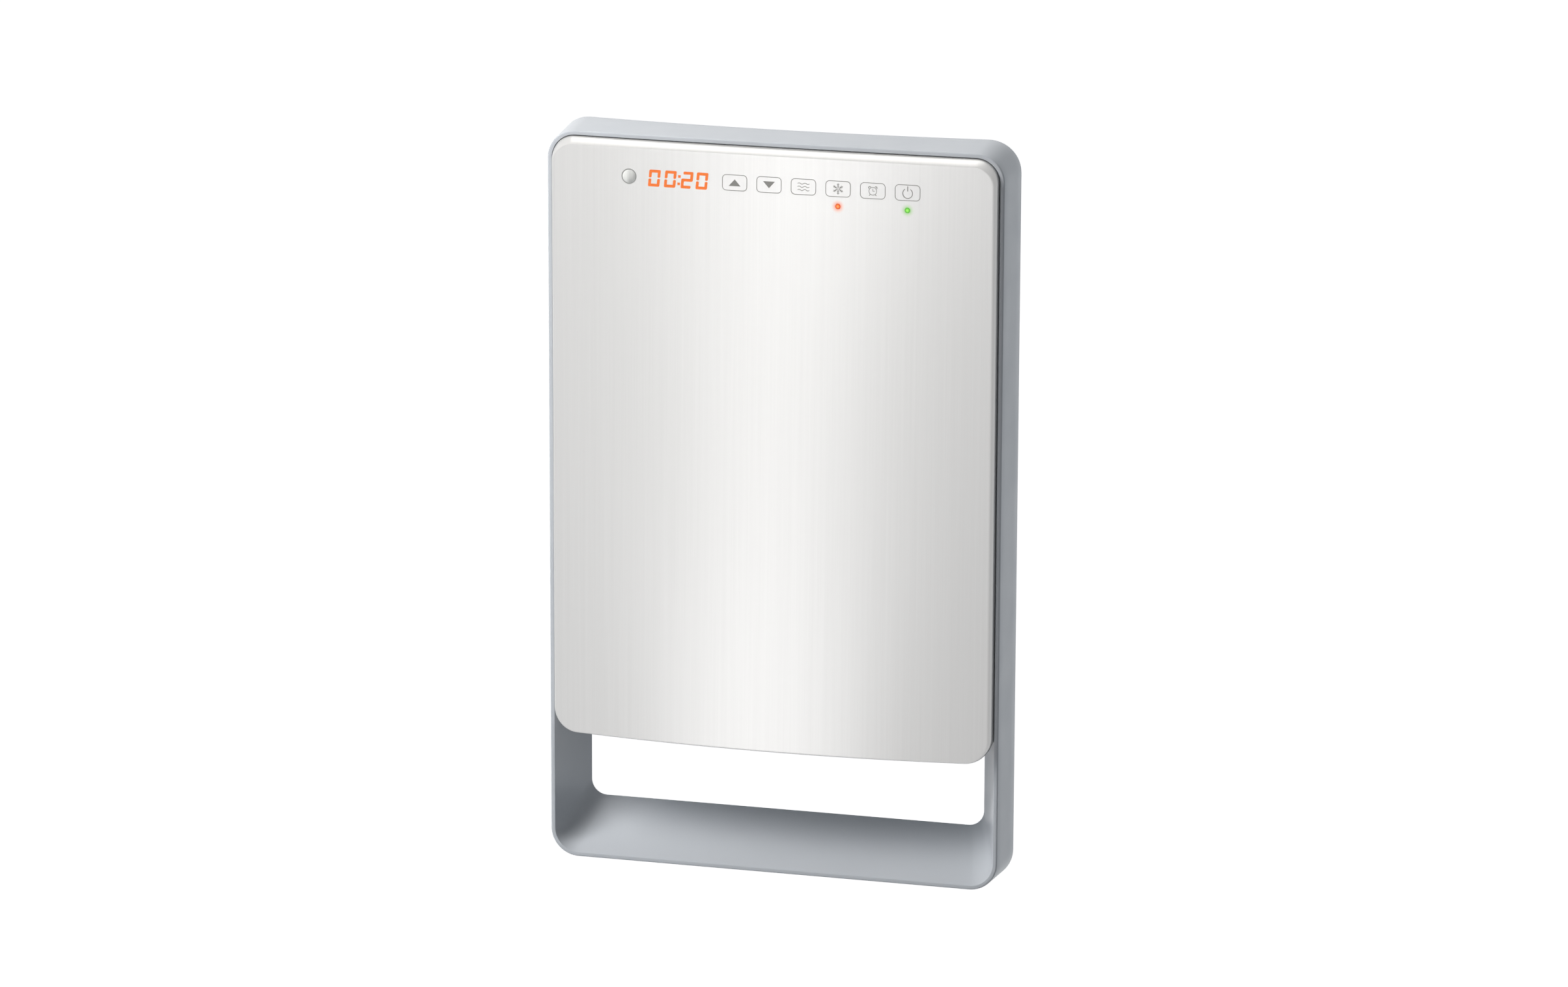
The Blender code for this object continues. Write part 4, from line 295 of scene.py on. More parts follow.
def soft_lamp(name, place, aim, size, power, colour, mirrored):
    """Soft lamp facing its aim, never in the picture itself."""
    lamp = bpy.data.lights.new(name, "AREA")
    lamp.shape = "RECTANGLE"
    lamp.size, lamp.size_y = size
    lamp.energy = power
    lamp.color = colour
    made = bpy.data.objects.new(name, lamp)
    made.location = place
    made.rotation_euler = (Vector(aim) - Vector(place)).to_track_quat("-Z", "Y").to_euler()
    made.visible_glossy = mirrored
    made.visible_camera = False
    bpy.context.scene.collection.objects.link(made)


def seen_directly(tree):
    """1 for the camera, for reflections and through clear pieces, 0 for plain light."""
    path = tree.nodes.new("ShaderNodeLightPath")
    share = path.outputs["Is Camera Ray"]
    for ray in ("Is Glossy Ray", "Is Transmission Ray"):
        either = tree.nodes.new("ShaderNodeMath")
        either.operation = "MAXIMUM"
        tree.links.new(share, either.inputs[0])
        tree.links.new(path.outputs[ray], either.inputs[1])
        share = either.outputs[0]
    return share


def light_room():
    world = bpy.data.worlds.new("studio")
    world.use_nodes = True
    bpy.context.scene.world = world
    tree = world.node_tree
    tree.nodes.clear()
    plain = tree.nodes.new("ShaderNodeBackground")
    plain.inputs["Color"].default_value = (*ROOM_TINT, 1.0)
    plain.inputs["Strength"].default_value = ROOM_LIGHT
    white = tree.nodes.new("ShaderNodeBackground")
    white.inputs["Color"].default_value = (*WHITE, 1.0)
    white.inputs["Strength"].default_value = 1.0
    mix = tree.nodes.new("ShaderNodeMixShader")
    tree.links.new(seen_directly(tree), mix.inputs[0])
    tree.links.new(plain.outputs[0], mix.inputs[1])
    tree.links.new(white.outputs[0], mix.inputs[2])
    out = tree.nodes.new("ShaderNodeOutputWorld")
    tree.links.new(mix.outputs[0], out.inputs["Surface"])
    for lamp in SOFTBOXES:
        soft_lamp(*lamp)


def lay_floor():
    bm = bmesh.new()
    bmesh.ops.create_grid(bm, x_segments=1, y_segments=1, size=FLOOR_HALF)
    bmesh.ops.translate(bm, verts=bm.verts, vec=(0, FLOOR_SHIFT, -FLOOR_DROP))
    mesh = bpy.data.meshes.new("floor")
    bm.to_mesh(mesh)
    bm.free()
    floor = bpy.data.objects.new("floor", mesh)
    bpy.context.scene.collection.objects.link(floor)
    pale = bpy.data.materials.new("pale floor")
    pale.use_nodes = True
    tree = pale.node_tree
    shader = tree.nodes["Principled BSDF"]
    shader.inputs["Base Color"].default_value = (FLOOR_TONE, FLOOR_TONE, FLOOR_TONE, 1.0)
    shader.inputs["Roughness"].default_value = 0.9
    shader.inputs["Emission Color"].default_value = (*WHITE, 1.0)
    lift = tree.nodes.new("ShaderNodeMath")
    lift.operation = "MULTIPLY"
    lift.inputs[1].default_value = FLOOR_LIFT
    tree.links.new(seen_directly(tree), lift.inputs[0])
    tree.links.new(lift.outputs[0], shader.inputs["Emission Strength"])
    mesh.materials.append(pale)


stand_camera()
light_room()
lay_floor()


# Finishes, with their patterns in waves to a metre and their relief in metres

FLOW_MARKS = 9.0
SHEEN_PATCHES = 45.0
BLOOM_PATCHES = 70.0
DULL_PATCHES = 160.0
TOOL_RELIEF = 0.000008
BRUSH_LINES = 900.0
BRUSH_STRETCH = 0.012
BRUSH_RELIEF = 0.000004
PANEL_COLOUR = (0.61, 0.603, 0.594)
PANEL_WIDE_STREAKS = (330.0, 0.0, 2.6)
PANEL_FINE_STREAKS = (2400.0, 0.0, 9.0)
PANEL_VARY = 0.028
PANEL_RELIEF = 0.000002
PANEL_RELIEF_STRENGTH = 0.2
# Painted glow of the two lights on the panel round them: reach in light radii, strength, fall-off
# and hues
PAINTED_GLOW_SHARES = (0.9, 2.9)
PAINTED_GLOW_STRENGTH = 0.9
PAINTED_GLOW_FALL = 1.6
PAINTED_GLOW_HUES = ((0.72, 0.20, 0.09), (0.27, 0.52, 0.16))
SEGMENT_CLOUD = 600.0
RESIN_SKIN = 2500.0
GUIDE_CLOUD = 1500.0
GUIDE_CLOUD_REACH = 0.0003
GUIDE_SHARES = (0.3, 0.95)
LENS_CLOUD = 260.0
LENS_CLOUD_STRETCH = (1.0, 1.0, 0.35)
LENS_SKIN = 700.0
BOARD_GROUND = (0.008, 0.075, 0.028)
BOARD_TRACK = (0.02, 0.15, 0.05)
TRACK_CELLS = 190.0
TRACK_EDGES = (0.05, 0.08)
GLASS_WEAVE = 330.0
FOAM_PORES = 1500.0
LAYER_BLOTCHES = 220.0
BAND_WANDER = 0.4
SMOOTH_RELIEF = 0.00001
SATIN_RELIEF = 0.00002
MATT_RELIEF = 0.00003
RUBBER_RELIEF = 0.00004
FILLED_RELIEF = 0.00005
GRAINED_RELIEF = 0.00006
PRINT_RELIEF = 0.000004
COLLAR_RELIEF = 0.000006
RESIN_RELIEF = 0.000004
GUIDE_RELIEF = 0.000003
LENS_RELIEF = 0.00001
BOARD_RELIEF = 0.00004
FOAM_RELIEF = 0.0002
LAMINATION_RELIEF = 0.00006
WIRE_RELIEF = 0.0001


def finish(name, colour, roughness, metallic=0.0):
    """A Principled finish with its tree, shader and object coordinates."""
    made = bpy.data.materials.new(name)
    made.use_nodes = True
    tree = made.node_tree
    shader = tree.nodes["Principled BSDF"]
    shader.inputs["Base Color"].default_value = (*colour, 1.0)
    shader.inputs["Roughness"].default_value = roughness
    shader.inputs["Metallic"].default_value = metallic
    made.diffuse_color = (*colour, 1.0)
    place = tree.nodes.new("ShaderNodeTexCoord")
    return made, tree, shader, place.outputs["Object"]


def grain(tree, place, scale, detail, stretch=(1.0, 1.0, 1.0)):
    """Noise over the piece, drawn out along an axis by a low stretch."""
    turn = tree.nodes.new("ShaderNodeMapping")
    turn.inputs["Scale"].default_value = stretch
    tree.links.new(place, turn.inputs["Vector"])
    noise = tree.nodes.new("ShaderNodeTexNoise")
    noise.inputs["Scale"].default_value = scale
    noise.inputs["Detail"].default_value = detail
    tree.links.new(turn.outputs["Vector"], noise.inputs["Vector"])
    return noise.outputs["Fac"]


def spread(tree, value, low, high, start=0.3, end=0.7):
    """A number from low to high as a pattern goes from start to end."""
    ranged = tree.nodes.new("ShaderNodeMapRange")
    ranged.inputs["From Min"].default_value = start
    ranged.inputs["From Max"].default_value = end
    ranged.inputs["To Min"].default_value = low
    ranged.inputs["To Max"].default_value = high
    tree.links.new(value, ranged.inputs["Value"])
    return ranged.outputs["Result"]


def tinted(tree, value, first, second):
    """A colour between two, led by a pattern."""
    mix = tree.nodes.new("ShaderNodeMix")
    mix.data_type = "RGBA"
    mix.inputs["A"].default_value = (*first, 1.0)
    mix.inputs["B"].default_value = (*second, 1.0)
    tree.links.new(value, mix.inputs["Factor"])
    return mix.outputs["Result"]


def shaded(colour, factor):
    return tuple(min(1.0, part * factor) for part in colour)


def raised(tree, shader, height, distance, strength=1.0):
    """Fine relief."""
    bump = tree.nodes.new("ShaderNodeBump")
    bump.inputs["Distance"].default_value = distance
    bump.inputs["Strength"].default_value = strength
    tree.links.new(height, bump.inputs["Height"])
    tree.links.new(bump.outputs["Normal"], shader.inputs["Normal"])


def moulded(name, colour, roughness, relief, pores=2600.0, vary=0.035):
    """Moulded plastic: faint flow marks, an uneven sheen and the tool's fine texture."""
    made, tree, shader, place = finish(name, colour, roughness)
    flow = spread(tree, grain(tree, place, FLOW_MARKS, 4.0), 0.0, 1.0)
    tint = tinted(tree, flow, shaded(colour, 1 - vary), shaded(colour, 1 + vary))
    tree.links.new(tint, shader.inputs["Base Color"])
    sheen = grain(tree, place, SHEEN_PATCHES, 5.0)
    gloss = spread(tree, sheen, roughness - 0.05, roughness + 0.06)
    tree.links.new(gloss, shader.inputs["Roughness"])
    raised(tree, shader, grain(tree, place, pores, 2.0), relief)
    return made


def brushed(name, colour, roughness, along):
    """Brushed metal: fine streaks along one axis in colour, gloss and relief."""
    made, tree, shader, place = finish(name, colour, roughness, 1.0)
    stretch = [1.0, 1.0, 1.0]
    stretch[along] = BRUSH_STRETCH
    streak = grain(tree, place, BRUSH_LINES, 4.0, stretch)
    tone = spread(tree, streak, 0.0, 1.0)
    tint = tinted(tree, tone, shaded(colour, 0.95), shaded(colour, 1.05))
    tree.links.new(tint, shader.inputs["Base Color"])
    gloss = spread(tree, streak, roughness - 0.06, roughness + 0.08)
    tree.links.new(gloss, shader.inputs["Roughness"])
    raised(tree, shader, streak, BRUSH_RELIEF)
    return made


def turned_metal(name, colour, roughness, rings=1400.0):
    """Bare or plated metal with blotches of tone, faint tool marks and dulled patches."""
    made, tree, shader, place = finish(name, colour, roughness, 1.0)
    bloom = spread(tree, grain(tree, place, BLOOM_PATCHES, 5.0), 0.0, 1.0)
    tint = tinted(tree, bloom, shaded(colour, 0.88), shaded(colour, 1.06))
    tree.links.new(tint, shader.inputs["Base Color"])
    dull = grain(tree, place, DULL_PATCHES, 4.0)
    gloss = spread(tree, dull, roughness - 0.08, roughness + 0.12)
    tree.links.new(gloss, shader.inputs["Roughness"])
    raised(tree, shader, grain(tree, place, rings, 2.0), TOOL_RELIEF)
    return made


def scaled(tree, value, factor, added=None):
    """A number times a factor, with another number added."""
    step = tree.nodes.new("ShaderNodeMath")
    step.operation = "MULTIPLY_ADD" if added else "MULTIPLY"
    step.inputs[1].default_value = factor
    tree.links.new(value, step.inputs[0])
    if added:
        tree.links.new(added, step.inputs[2])
    return step.outputs[0]


def distance_from(tree, place, x, height):
    """Distance from a line through the panel, at a place in the plane of the wall."""
    flat = tree.nodes.new("ShaderNodeVectorMath")
    flat.operation = "MULTIPLY"
    flat.inputs[1].default_value = (1.0, 0.0, 1.0)
    tree.links.new(place, flat.inputs[0])
    away = tree.nodes.new("ShaderNodeVectorMath")
    away.operation = "DISTANCE"
    away.inputs[1].default_value = (x, 0.0, height - BRACKET_HEIGHT)
    tree.links.new(flat.outputs["Vector"], away.inputs[0])
    return away.outputs["Value"]


def painted_glow(tree, place, x, hue, under):
    """Painted glow of a light: the panel's colour round it tinted towards the light's hue, fading
    outwards.
    """
    near, far = (LIGHT_RADIUS * share for share in PAINTED_GLOW_SHARES)
    away = distance_from(tree, place, x, LIGHT_HEIGHT)
    fall = tree.nodes.new("ShaderNodeMath")
    fall.operation = "POWER"
    fall.inputs[1].default_value = PAINTED_GLOW_FALL
    tree.links.new(spread(tree, away, PAINTED_GLOW_STRENGTH, 0.0, near, far), fall.inputs[0])
    mix = tree.nodes.new("ShaderNodeMix")
    mix.data_type = "RGBA"
    mix.inputs["B"].default_value = (*hue, 1.0)
    tree.links.new(fall.outputs[0], mix.inputs["Factor"])
    tree.links.new(under, mix.inputs["A"])
    return mix.outputs["Result"]


def panel_sheet_finish():
    """Lacquered brushed sheet, with the glow of the two lights painted into its colour round them.
    """
    made, tree, shader, place = finish("brushed panel", PANEL_COLOUR, 0.28, 0.55)
    wide = grain(tree, place, 1.0, 4.0, PANEL_WIDE_STREAKS)
    fine = grain(tree, place, 1.0, 3.0, PANEL_FINE_STREAKS)
    streak = spread(tree, scaled(tree, fine, 0.5, scaled(tree, wide, 0.5)), 0.0, 1.0)
    dark, pale = shaded(PANEL_COLOUR, 1 - PANEL_VARY), shaded(PANEL_COLOUR, 1 + PANEL_VARY)
    tint = tinted(tree, streak, dark, pale)
    # Painted glow of each light, put into the panel's base colour
    for x, hue in zip(LIGHT_X, PAINTED_GLOW_HUES):
        tint = painted_glow(tree, place, x, hue, tint)
    tree.links.new(tint, shader.inputs["Base Color"])
    raised(tree, shader, wide, PANEL_RELIEF, PANEL_RELIEF_STRENGTH)
    return made


def lit(name, colour, glow, strength, roughness):
    """A lit segment, a little uneven as cast resin is."""
    made, tree, shader, place = finish(name, colour, roughness)
    cloud = spread(tree, grain(tree, place, SEGMENT_CLOUD, 3.0), 0.0, 1.0)
    tint = tinted(tree, cloud, shaded(glow, 0.93), shaded(glow, 1.05))
    tree.links.new(tint, shader.inputs["Emission Color"])
    shader.inputs["Emission Strength"].default_value = strength
    raised(tree, shader, grain(tree, place, RESIN_SKIN, 2.0), RESIN_RELIEF)
    return made


def lamp_dome(name, x, middle, edge, strength):
    """Light guide, palest in the middle and deep coloured at its edge."""
    near, far = (LIGHT_RADIUS * share for share in GUIDE_SHARES)
    made, tree, shader, place = finish(name, shaded(edge, 0.3), 0.18)
    away = distance_from(tree, place, x, LIGHT_HEIGHT)
    cloud = scaled(tree, grain(tree, place, GUIDE_CLOUD, 2.0), GUIDE_CLOUD_REACH, away)
    glow = tinted(tree, spread(tree, cloud, 0.0, 1.0, near, far), middle, edge)
    tree.links.new(glow, shader.inputs["Emission Color"])
    shader.inputs["Emission Strength"].default_value = strength
    raised(tree, shader, grain(tree, place, RESIN_SKIN, 2.0), GUIDE_RELIEF)
    return made


def smoky(name, colour):
    """Smoke-tinted lens resin over its sensing element."""
    made, tree, shader, place = finish(name, colour, 0.34)
    cloud = spread(tree, grain(tree, place, LENS_CLOUD, 2.0, LENS_CLOUD_STRETCH), 0.0, 1.0)
    tint = tinted(tree, cloud, shaded(colour, 0.86), shaded(colour, 1.14))
    tree.links.new(tint, shader.inputs["Base Color"])
    shader.inputs["Coat Weight"].default_value = 0.3
    shader.inputs["Coat Roughness"].default_value = 0.12
    raised(tree, shader, grain(tree, place, LENS_SKIN, 2.0), LENS_RELIEF)
    return made


def cells(tree, place, scale, feature="F1"):
    """Distance within a field of cells."""
    field = tree.nodes.new("ShaderNodeTexVoronoi")
    field.feature = feature
    field.inputs["Scale"].default_value = scale
    tree.links.new(place, field.inputs["Vector"])
    return field.outputs["Distance"]


def bands(tree, place, scale, axis):
    """Even bands across an axis."""
    wave = tree.nodes.new("ShaderNodeTexWave")
    wave.bands_direction = axis
    wave.inputs["Scale"].default_value = scale
    wave.inputs["Distortion"].default_value = BAND_WANDER
    tree.links.new(place, wave.inputs["Vector"])
    return wave.outputs["Fac"]


def printed_board(name):
    """Green lacquer over copper tracks and glass weave."""
    made, tree, shader, place = finish(name, BOARD_GROUND, 0.34)
    edge = cells(tree, place, TRACK_CELLS, "DISTANCE_TO_EDGE")
    track = spread(tree, edge, 1.0, 0.0, *TRACK_EDGES)
    tint = tinted(tree, track, BOARD_GROUND, BOARD_TRACK)
    tree.links.new(tint, shader.inputs["Base Color"])
    weave = bands(tree, place, GLASS_WEAVE, "X")
    tree.links.new(spread(tree, weave, 0.30, 0.42, 0.0, 1.0), shader.inputs["Roughness"])
    raised(tree, shader, edge, BOARD_RELIEF)
    return made


def foamed(name, colour):
    """Open-pored foam, with painted shade darkening the hollows of its pores."""
    made, tree, shader, place = finish(name, colour, 0.9)
    pore = cells(tree, place, FOAM_PORES)
    # Painted shade: darker where the pores sink, lighter on the walls between them
    depth = spread(tree, pore, 0.0, 1.0, 0.1, 0.7)
    tint = tinted(tree, depth, shaded(colour, 0.5), shaded(colour, 1.4))
    tree.links.new(tint, shader.inputs["Base Color"])
    raised(tree, shader, pore, FOAM_RELIEF)
    return made


def layered(name, colour, roughness, metallic, lines, relief):
    """Stacked sheets or wound wire: a line for each one, with its own tone and groove."""
    made, tree, shader, place = finish(name, colour, roughness, metallic)
    line = bands(tree, place, lines, "X")
    tone = spread(tree, line, 0.0, 1.0, 0.0, 1.0)
    tint = tinted(tree, tone, shaded(colour, 0.62), shaded(colour, 1.12))
    tree.links.new(tint, shader.inputs["Base Color"])
    blotch = grain(tree, place, LAYER_BLOTCHES, 3.0)
    gloss = spread(tree, blotch, roughness - 0.08, roughness + 0.1)
    tree.links.new(gloss, shader.inputs["Roughness"])
    raised(tree, shader, line, relief)
    return made


frame_moulding = moulded("frame moulding", (0.47, 0.49, 0.52), 0.40, SMOOTH_RELIEF, vary=0.02)
panel_finish = panel_sheet_finish()
housing_moulding = moulded("housing moulding", (0.34, 0.375, 0.41), 0.52, GRAINED_RELIEF, 1500.0)
rubber = moulded("rubber", (0.022, 0.022, 0.023), 0.75, RUBBER_RELIEF, 1800.0, 0.12)
print_grey = moulded("printed grey", (0.25, 0.245, 0.23), 0.6, PRINT_RELIEF, 4000.0, 0.08)
# Real raised ring round the lens, made darker grey as painted shade of the gap round it
gap_shade_collar = moulded("lens collar", (0.34, 0.34, 0.33), 0.35, COLLAR_RELIEF, 3000.0, 0.05)
lens_smoke = smoky("smoky lens", (0.64, 0.64, 0.62))
segment_orange = lit("orange segments", (0.20, 0.04, 0.01), (0.88, 0.19, 0.02), 0.80, 0.5)

# Each light's colours at its middle and at its edge
light_colours = {
    "orange_light": ((1.0, 0.38, 0.09), (0.70, 0.09, 0.008)),
    "green_light": ((0.36, 0.86, 0.13), (0.09, 0.46, 0.03)),
}
lights = {
    slot: lamp_dome(slot.replace("_", " "), x, *colours, strength=0.92)
    for (slot, colours), x in zip(light_colours.items(), LIGHT_X)
}

COATS = {
    "frame_moulding": frame_moulding,
    "brushed_panel": panel_finish,
    "inner_moulding": moulded("inner moulding", (0.095, 0.10, 0.105), 0.5, MATT_RELIEF),
    "housing_moulding": housing_moulding,
    "zinc_steel": turned_metal("zinc plated steel", (0.60, 0.61, 0.63), 0.34),
    "rubber": rubber,
    "circuit_board": printed_board("printed board"),
    "lamp_block": moulded(
        "display block", (0.012, 0.012, 0.013), 0.3, SMOOTH_RELIEF, 3000.0, 0.1
    ),
    "sensing_foam": foamed("sensing foam", (0.02, 0.02, 0.022)),
    "smoky_lens": lens_smoke,
    "sensor_can": brushed("sensor can", (0.42, 0.42, 0.44), 0.3, along=1),
    "bronze": turned_metal("sintered bronze", (0.40, 0.22, 0.085), 0.42, 2600.0),
    "fan_moulding": moulded(
        "fan moulding", (0.014, 0.014, 0.016), 0.42, SATIN_RELIEF, 2000.0, 0.1
    ),
    "core_steel": layered(
        "stacked core steel", (0.14, 0.145, 0.16), 0.42, 0.9, 620.0, LAMINATION_RELIEF
    ),
    "winding": layered("enamelled winding", (0.32, 0.075, 0.02), 0.28, 0.6, 900.0, WIRE_RELIEF),
    "cast_zinc": turned_metal("cast zinc", (0.40, 0.40, 0.41), 0.5, 900.0),
    "hot_moulding": moulded(
        "glass filled moulding", (0.57, 0.50, 0.39), 0.62, FILLED_RELIEF, 1700.0, 0.06
    ),
    "fins": brushed("aluminium fins", (0.60, 0.61, 0.63), 0.36, along=2),
    "relay_case": moulded("relay case", (0.015, 0.07, 0.30), 0.3, SMOOTH_RELIEF),
    "capacitor_case": moulded("capacitor case", (0.52, 0.38, 0.06), 0.36, SMOOTH_RELIEF),
    "block_moulding": moulded("block moulding", (0.69, 0.68, 0.64), 0.45, SATIN_RELIEF),
    **lights,
}


# Working a mesh

def loose(name, bm, coat):
    """An object of a finished mesh, set down by the bracket's height."""
    bmesh.ops.translate(bm, verts=bm.verts, vec=(0, 0, -BRACKET_HEIGHT))
    mesh = bpy.data.meshes.new(name)
    bm.to_mesh(mesh)
    bm.free()
    mesh.materials.append(coat)
    made = bpy.data.objects.new(name, mesh)
    bpy.context.scene.collection.objects.link(made)
    return made


def smoothed(piece):
    """Shade a finished piece smooth, with its edges kept sharp."""
    piece.data.shade_smooth()
    piece.data.set_sharp_from_angle(angle=SMOOTH_ANGLE)


def fitted(made, node=None):
    """Set a finished piece on the case and in its node's place."""
    smoothed(made)
    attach(made, "case")
    if node:
        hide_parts(node)


def rounded_face(bm, half, bottom, top, radius, steps=ARC_STEPS):
    """One face with rounded corners in the plane of the wall."""
    spots = ((-half, bottom), (half, bottom), (half, top), (-half, top))
    corners = [bm.verts.new((x, 0, z)) for x, z in spots]
    bm.faces.new(corners)
    bmesh.ops.bevel(
        bm,
        geom=corners,
        offset=radius,
        affect="VERTICES",
        segments=steps,
        profile=0.5,
        material=-1,
    )


def cut_runs(bm, radius, cuts):
    """Even cuts in the straight runs of a rounded face's outline."""
    runs = [edge for edge in bm.edges if edge.calc_length() > radius * 2]
    bmesh.ops.subdivide_edges(bm, edges=runs, cuts=cuts)


def stations(layer, verts, half, bottom, top, top_radius, low_radius):
    """Number the points of a rounded outline, and note each one's place and its way out."""
    spots = []
    for i, vert in enumerate(verts):
        vert[layer] = i
        radius = top_radius if vert.co.z > (bottom + top) / 2 else low_radius
        inner = max(-half + radius, min(half - radius, vert.co.x))
        level = max(bottom + low_radius, min(top - top_radius, vert.co.z))
        up = (level - bottom - low_radius) / (top - top_radius - bottom - low_radius)
        out = Vector((vert.co.x - inner, vert.co.z - level)).normalized()
        spots.append((inner / (half - radius), up, out))
    return spots


def fit(layer, spots, verts, ring):
    """Put numbered points on another rounded outline, at the depths that its function gives."""
    (half, bottom, top, top_radius, low_radius), depth = ring
    low, high = bottom + low_radius, top - top_radius
    for vert in verts:
        across, up, out = spots[vert[layer]]
        radius = top_radius if up > 0.5 else low_radius
        x = across * (half - radius) + out.x * radius
        z = low + (high - low) * up + out.y * radius
        vert.co = (x, -depth(x, z, out.y), z)


def drawn_out(bm, edges):
    """Extrude a loop of edges and return the new points and edges."""
    made = bmesh.ops.extrude_edge_only(bm, edges=edges)["geom"]
    verts = [part for part in made if isinstance(part, bmesh.types.BMVert)]
    fresh = set(verts)
    edges = [part for part in made if isinstance(part, bmesh.types.BMEdge)]
    return verts, [edge for edge in edges if set(edge.verts) <= fresh]


def settle(piece):
    """Keep what the piece's modifiers make of it."""
    graph = bpy.context.evaluated_depsgraph_get()
    mesh = bpy.data.meshes.new_from_object(piece.evaluated_get(graph))
    piece.modifiers.clear()
    piece.data = mesh


def combined(piece, operation, *tools):
    """Cut, join or trim a piece with others, which are used up."""
    for tool in tools:
        step = piece.modifiers.new("combine", "BOOLEAN")
        step.operation = operation
        step.solver = "EXACT"
        step.object = tool
    settle(piece)
    for tool in tools:
        bpy.data.objects.remove(tool, do_unlink=True)


def box(bm, low, high):
    """A box between two corners."""
    middle = [(a + b) / 2 for a, b in zip(low, high)]
    size = [b - a for a, b in zip(low, high)]
    place = Matrix.Translation(middle) @ Matrix.Diagonal((*size, 1.0))
    bmesh.ops.create_cube(bm, size=1.0, matrix=place)


def rod(bm, start, end, radius, sides=ROD_SIDES):
    """A round bar from one point to another."""
    way = Vector(end) - Vector(start)
    turn = way.to_track_quat("Z", "Y").to_matrix().to_4x4()
    bmesh.ops.create_cone(
        bm,
        cap_ends=True,
        segments=sides,
        radius1=radius,
        radius2=radius,
        depth=way.length,
        matrix=Matrix.Translation((Vector(start) + Vector(end)) / 2) @ turn,
    )


def spun(name, profile, centre, coat, node=None, steps=LENS_SIDES):
    """Turn a profile of radii and depths from the wall round a line through a place."""
    bm = bmesh.new()
    x, height = centre
    verts = [bm.verts.new((x + radius, -depth, height)) for radius, depth in profile]
    edges = [bm.edges.new(pair) for pair in zip(verts, verts[1:])]
    bmesh.ops.spin(
        bm,
        geom=verts + edges,
        cent=(x, 0, height),
        axis=(0, 1, 0),
        angle=math.tau,
        steps=steps,
        use_merge=True,
    )
    bmesh.ops.remove_doubles(bm, verts=bm.verts, dist=SAME_PLACE * 2)
    bmesh.ops.recalc_face_normals(bm, faces=bm.faces)
    fitted(loose(name, bm, coat), node)


# Surround with the towel rail

def throat_share(share):
    return share * (1 - THROAT_SCOOP_SHARE + THROAT_SCOOP_SHARE * share)


def frame_depth(x, z, share):
    """Depth on the surround at a share of the way to its rear edge, bowed along the top."""
    bow = max(0.0, 1 - (x / FRAME_HALF) ** 2) if z > FRAME_HEIGHT / 2 else 0.0
    front = RIM_DEPTH + TOP_FRONT_BOW * bow
    rear = RIM_DEPTH - FRAME_DEPTH + TOP_REAR_BOW * bow
    return front + (rear - front) * share


def outer_ring(share, inset=0.0):
    grow = FRAME_DRAFT * share - inset
    radius = FRAME_CORNER + grow
    size = (FRAME_HALF + grow, -grow, FRAME_HEIGHT + grow, radius, radius)
    return size, lambda x, z, out_z: frame_depth(x, z, share)


def throat_half(share):
    return FRAME_HALF - RIM_LAND - THROAT_NARROWING * throat_share(share)


def throat_ring(share, wall=0.0):
    narrowed = throat_share(share)
    front_radius = FRAME_CORNER - RIM_LAND
    radius = front_radius + (THROAT_CORNER - front_radius) * narrowed + wall
    bottom = RIM_LAND + RAIL_RISE * narrowed - wall
    top = FRAME_HEIGHT - RIM_LAND - THROAT_NARROWING * narrowed + wall
    size = (throat_half(share) + wall, bottom, top, radius, radius)
    return size, lambda x, z, out_z: frame_depth(x, z, share)


def rounding(steps):
    """How far each step of a quarter turn goes across and back, as shares of its radius."""
    turns = [math.pi / 2 * i / steps for i in range(steps + 1)]
    return [(math.sin(turn), 1 - math.cos(turn)) for turn in turns]


def swept(rings):
    """A closed section swept round the surround."""
    bm = bmesh.new()
    layer = bm.verts.layers.int.new("station")
    base = (FRAME_HALF, 0.0, FRAME_HEIGHT, FRAME_CORNER)
    rounded_face(bm, *base)
    cut_runs(bm, FRAME_CORNER, SIDE_CUTS)
    bmesh.ops.delete(bm, geom=bm.faces[:], context="FACES_ONLY")
    verts, edges = bm.verts[:], bm.edges[:]
    spots = stations(layer, verts, *base, FRAME_CORNER)
    fit(layer, spots, verts, rings[0])
    for ring in rings[1:] + rings[:1]:
        verts, edges = drawn_out(bm, edges)
        fit(layer, spots, verts, ring)
    bmesh.ops.remove_doubles(bm, verts=bm.verts, dist=SAME_PLACE)
    bmesh.ops.recalc_face_normals(bm, faces=bm.faces)
    return bm


def surround_shell():
    """Solid section with rounded rims and a scooped throat."""
    lip = RIM_ROUND / FRAME_DEPTH
    ease = REAR_ROUND / FRAME_DEPTH
    rings = []
    for sine, back in rounding(EDGE_STEPS):
        rings.append(outer_ring(1 - ease * back, REAR_ROUND * (1 - sine)))
    rings += [outer_ring(share) for share in WALL_SHARES]
    for sine, back in rounding(RIM_STEPS):
        rings.append(outer_ring(lip * (1 - sine), RIM_ROUND * back))
    rings.append(outer_ring(0, (RIM_ROUND + RIM_LAND) / 2))
    rings.append(outer_ring(0, RIM_LAND - LAND_ROUND))
    for _, back in rounding(EDGE_STEPS)[1:]:
        rings.append(throat_ring(LAND_ROUND / FRAME_DEPTH * back))
    rings += [throat_ring(i / THROAT_STEPS) for i in range(1, THROAT_STEPS + 1)]
    return swept(rings)


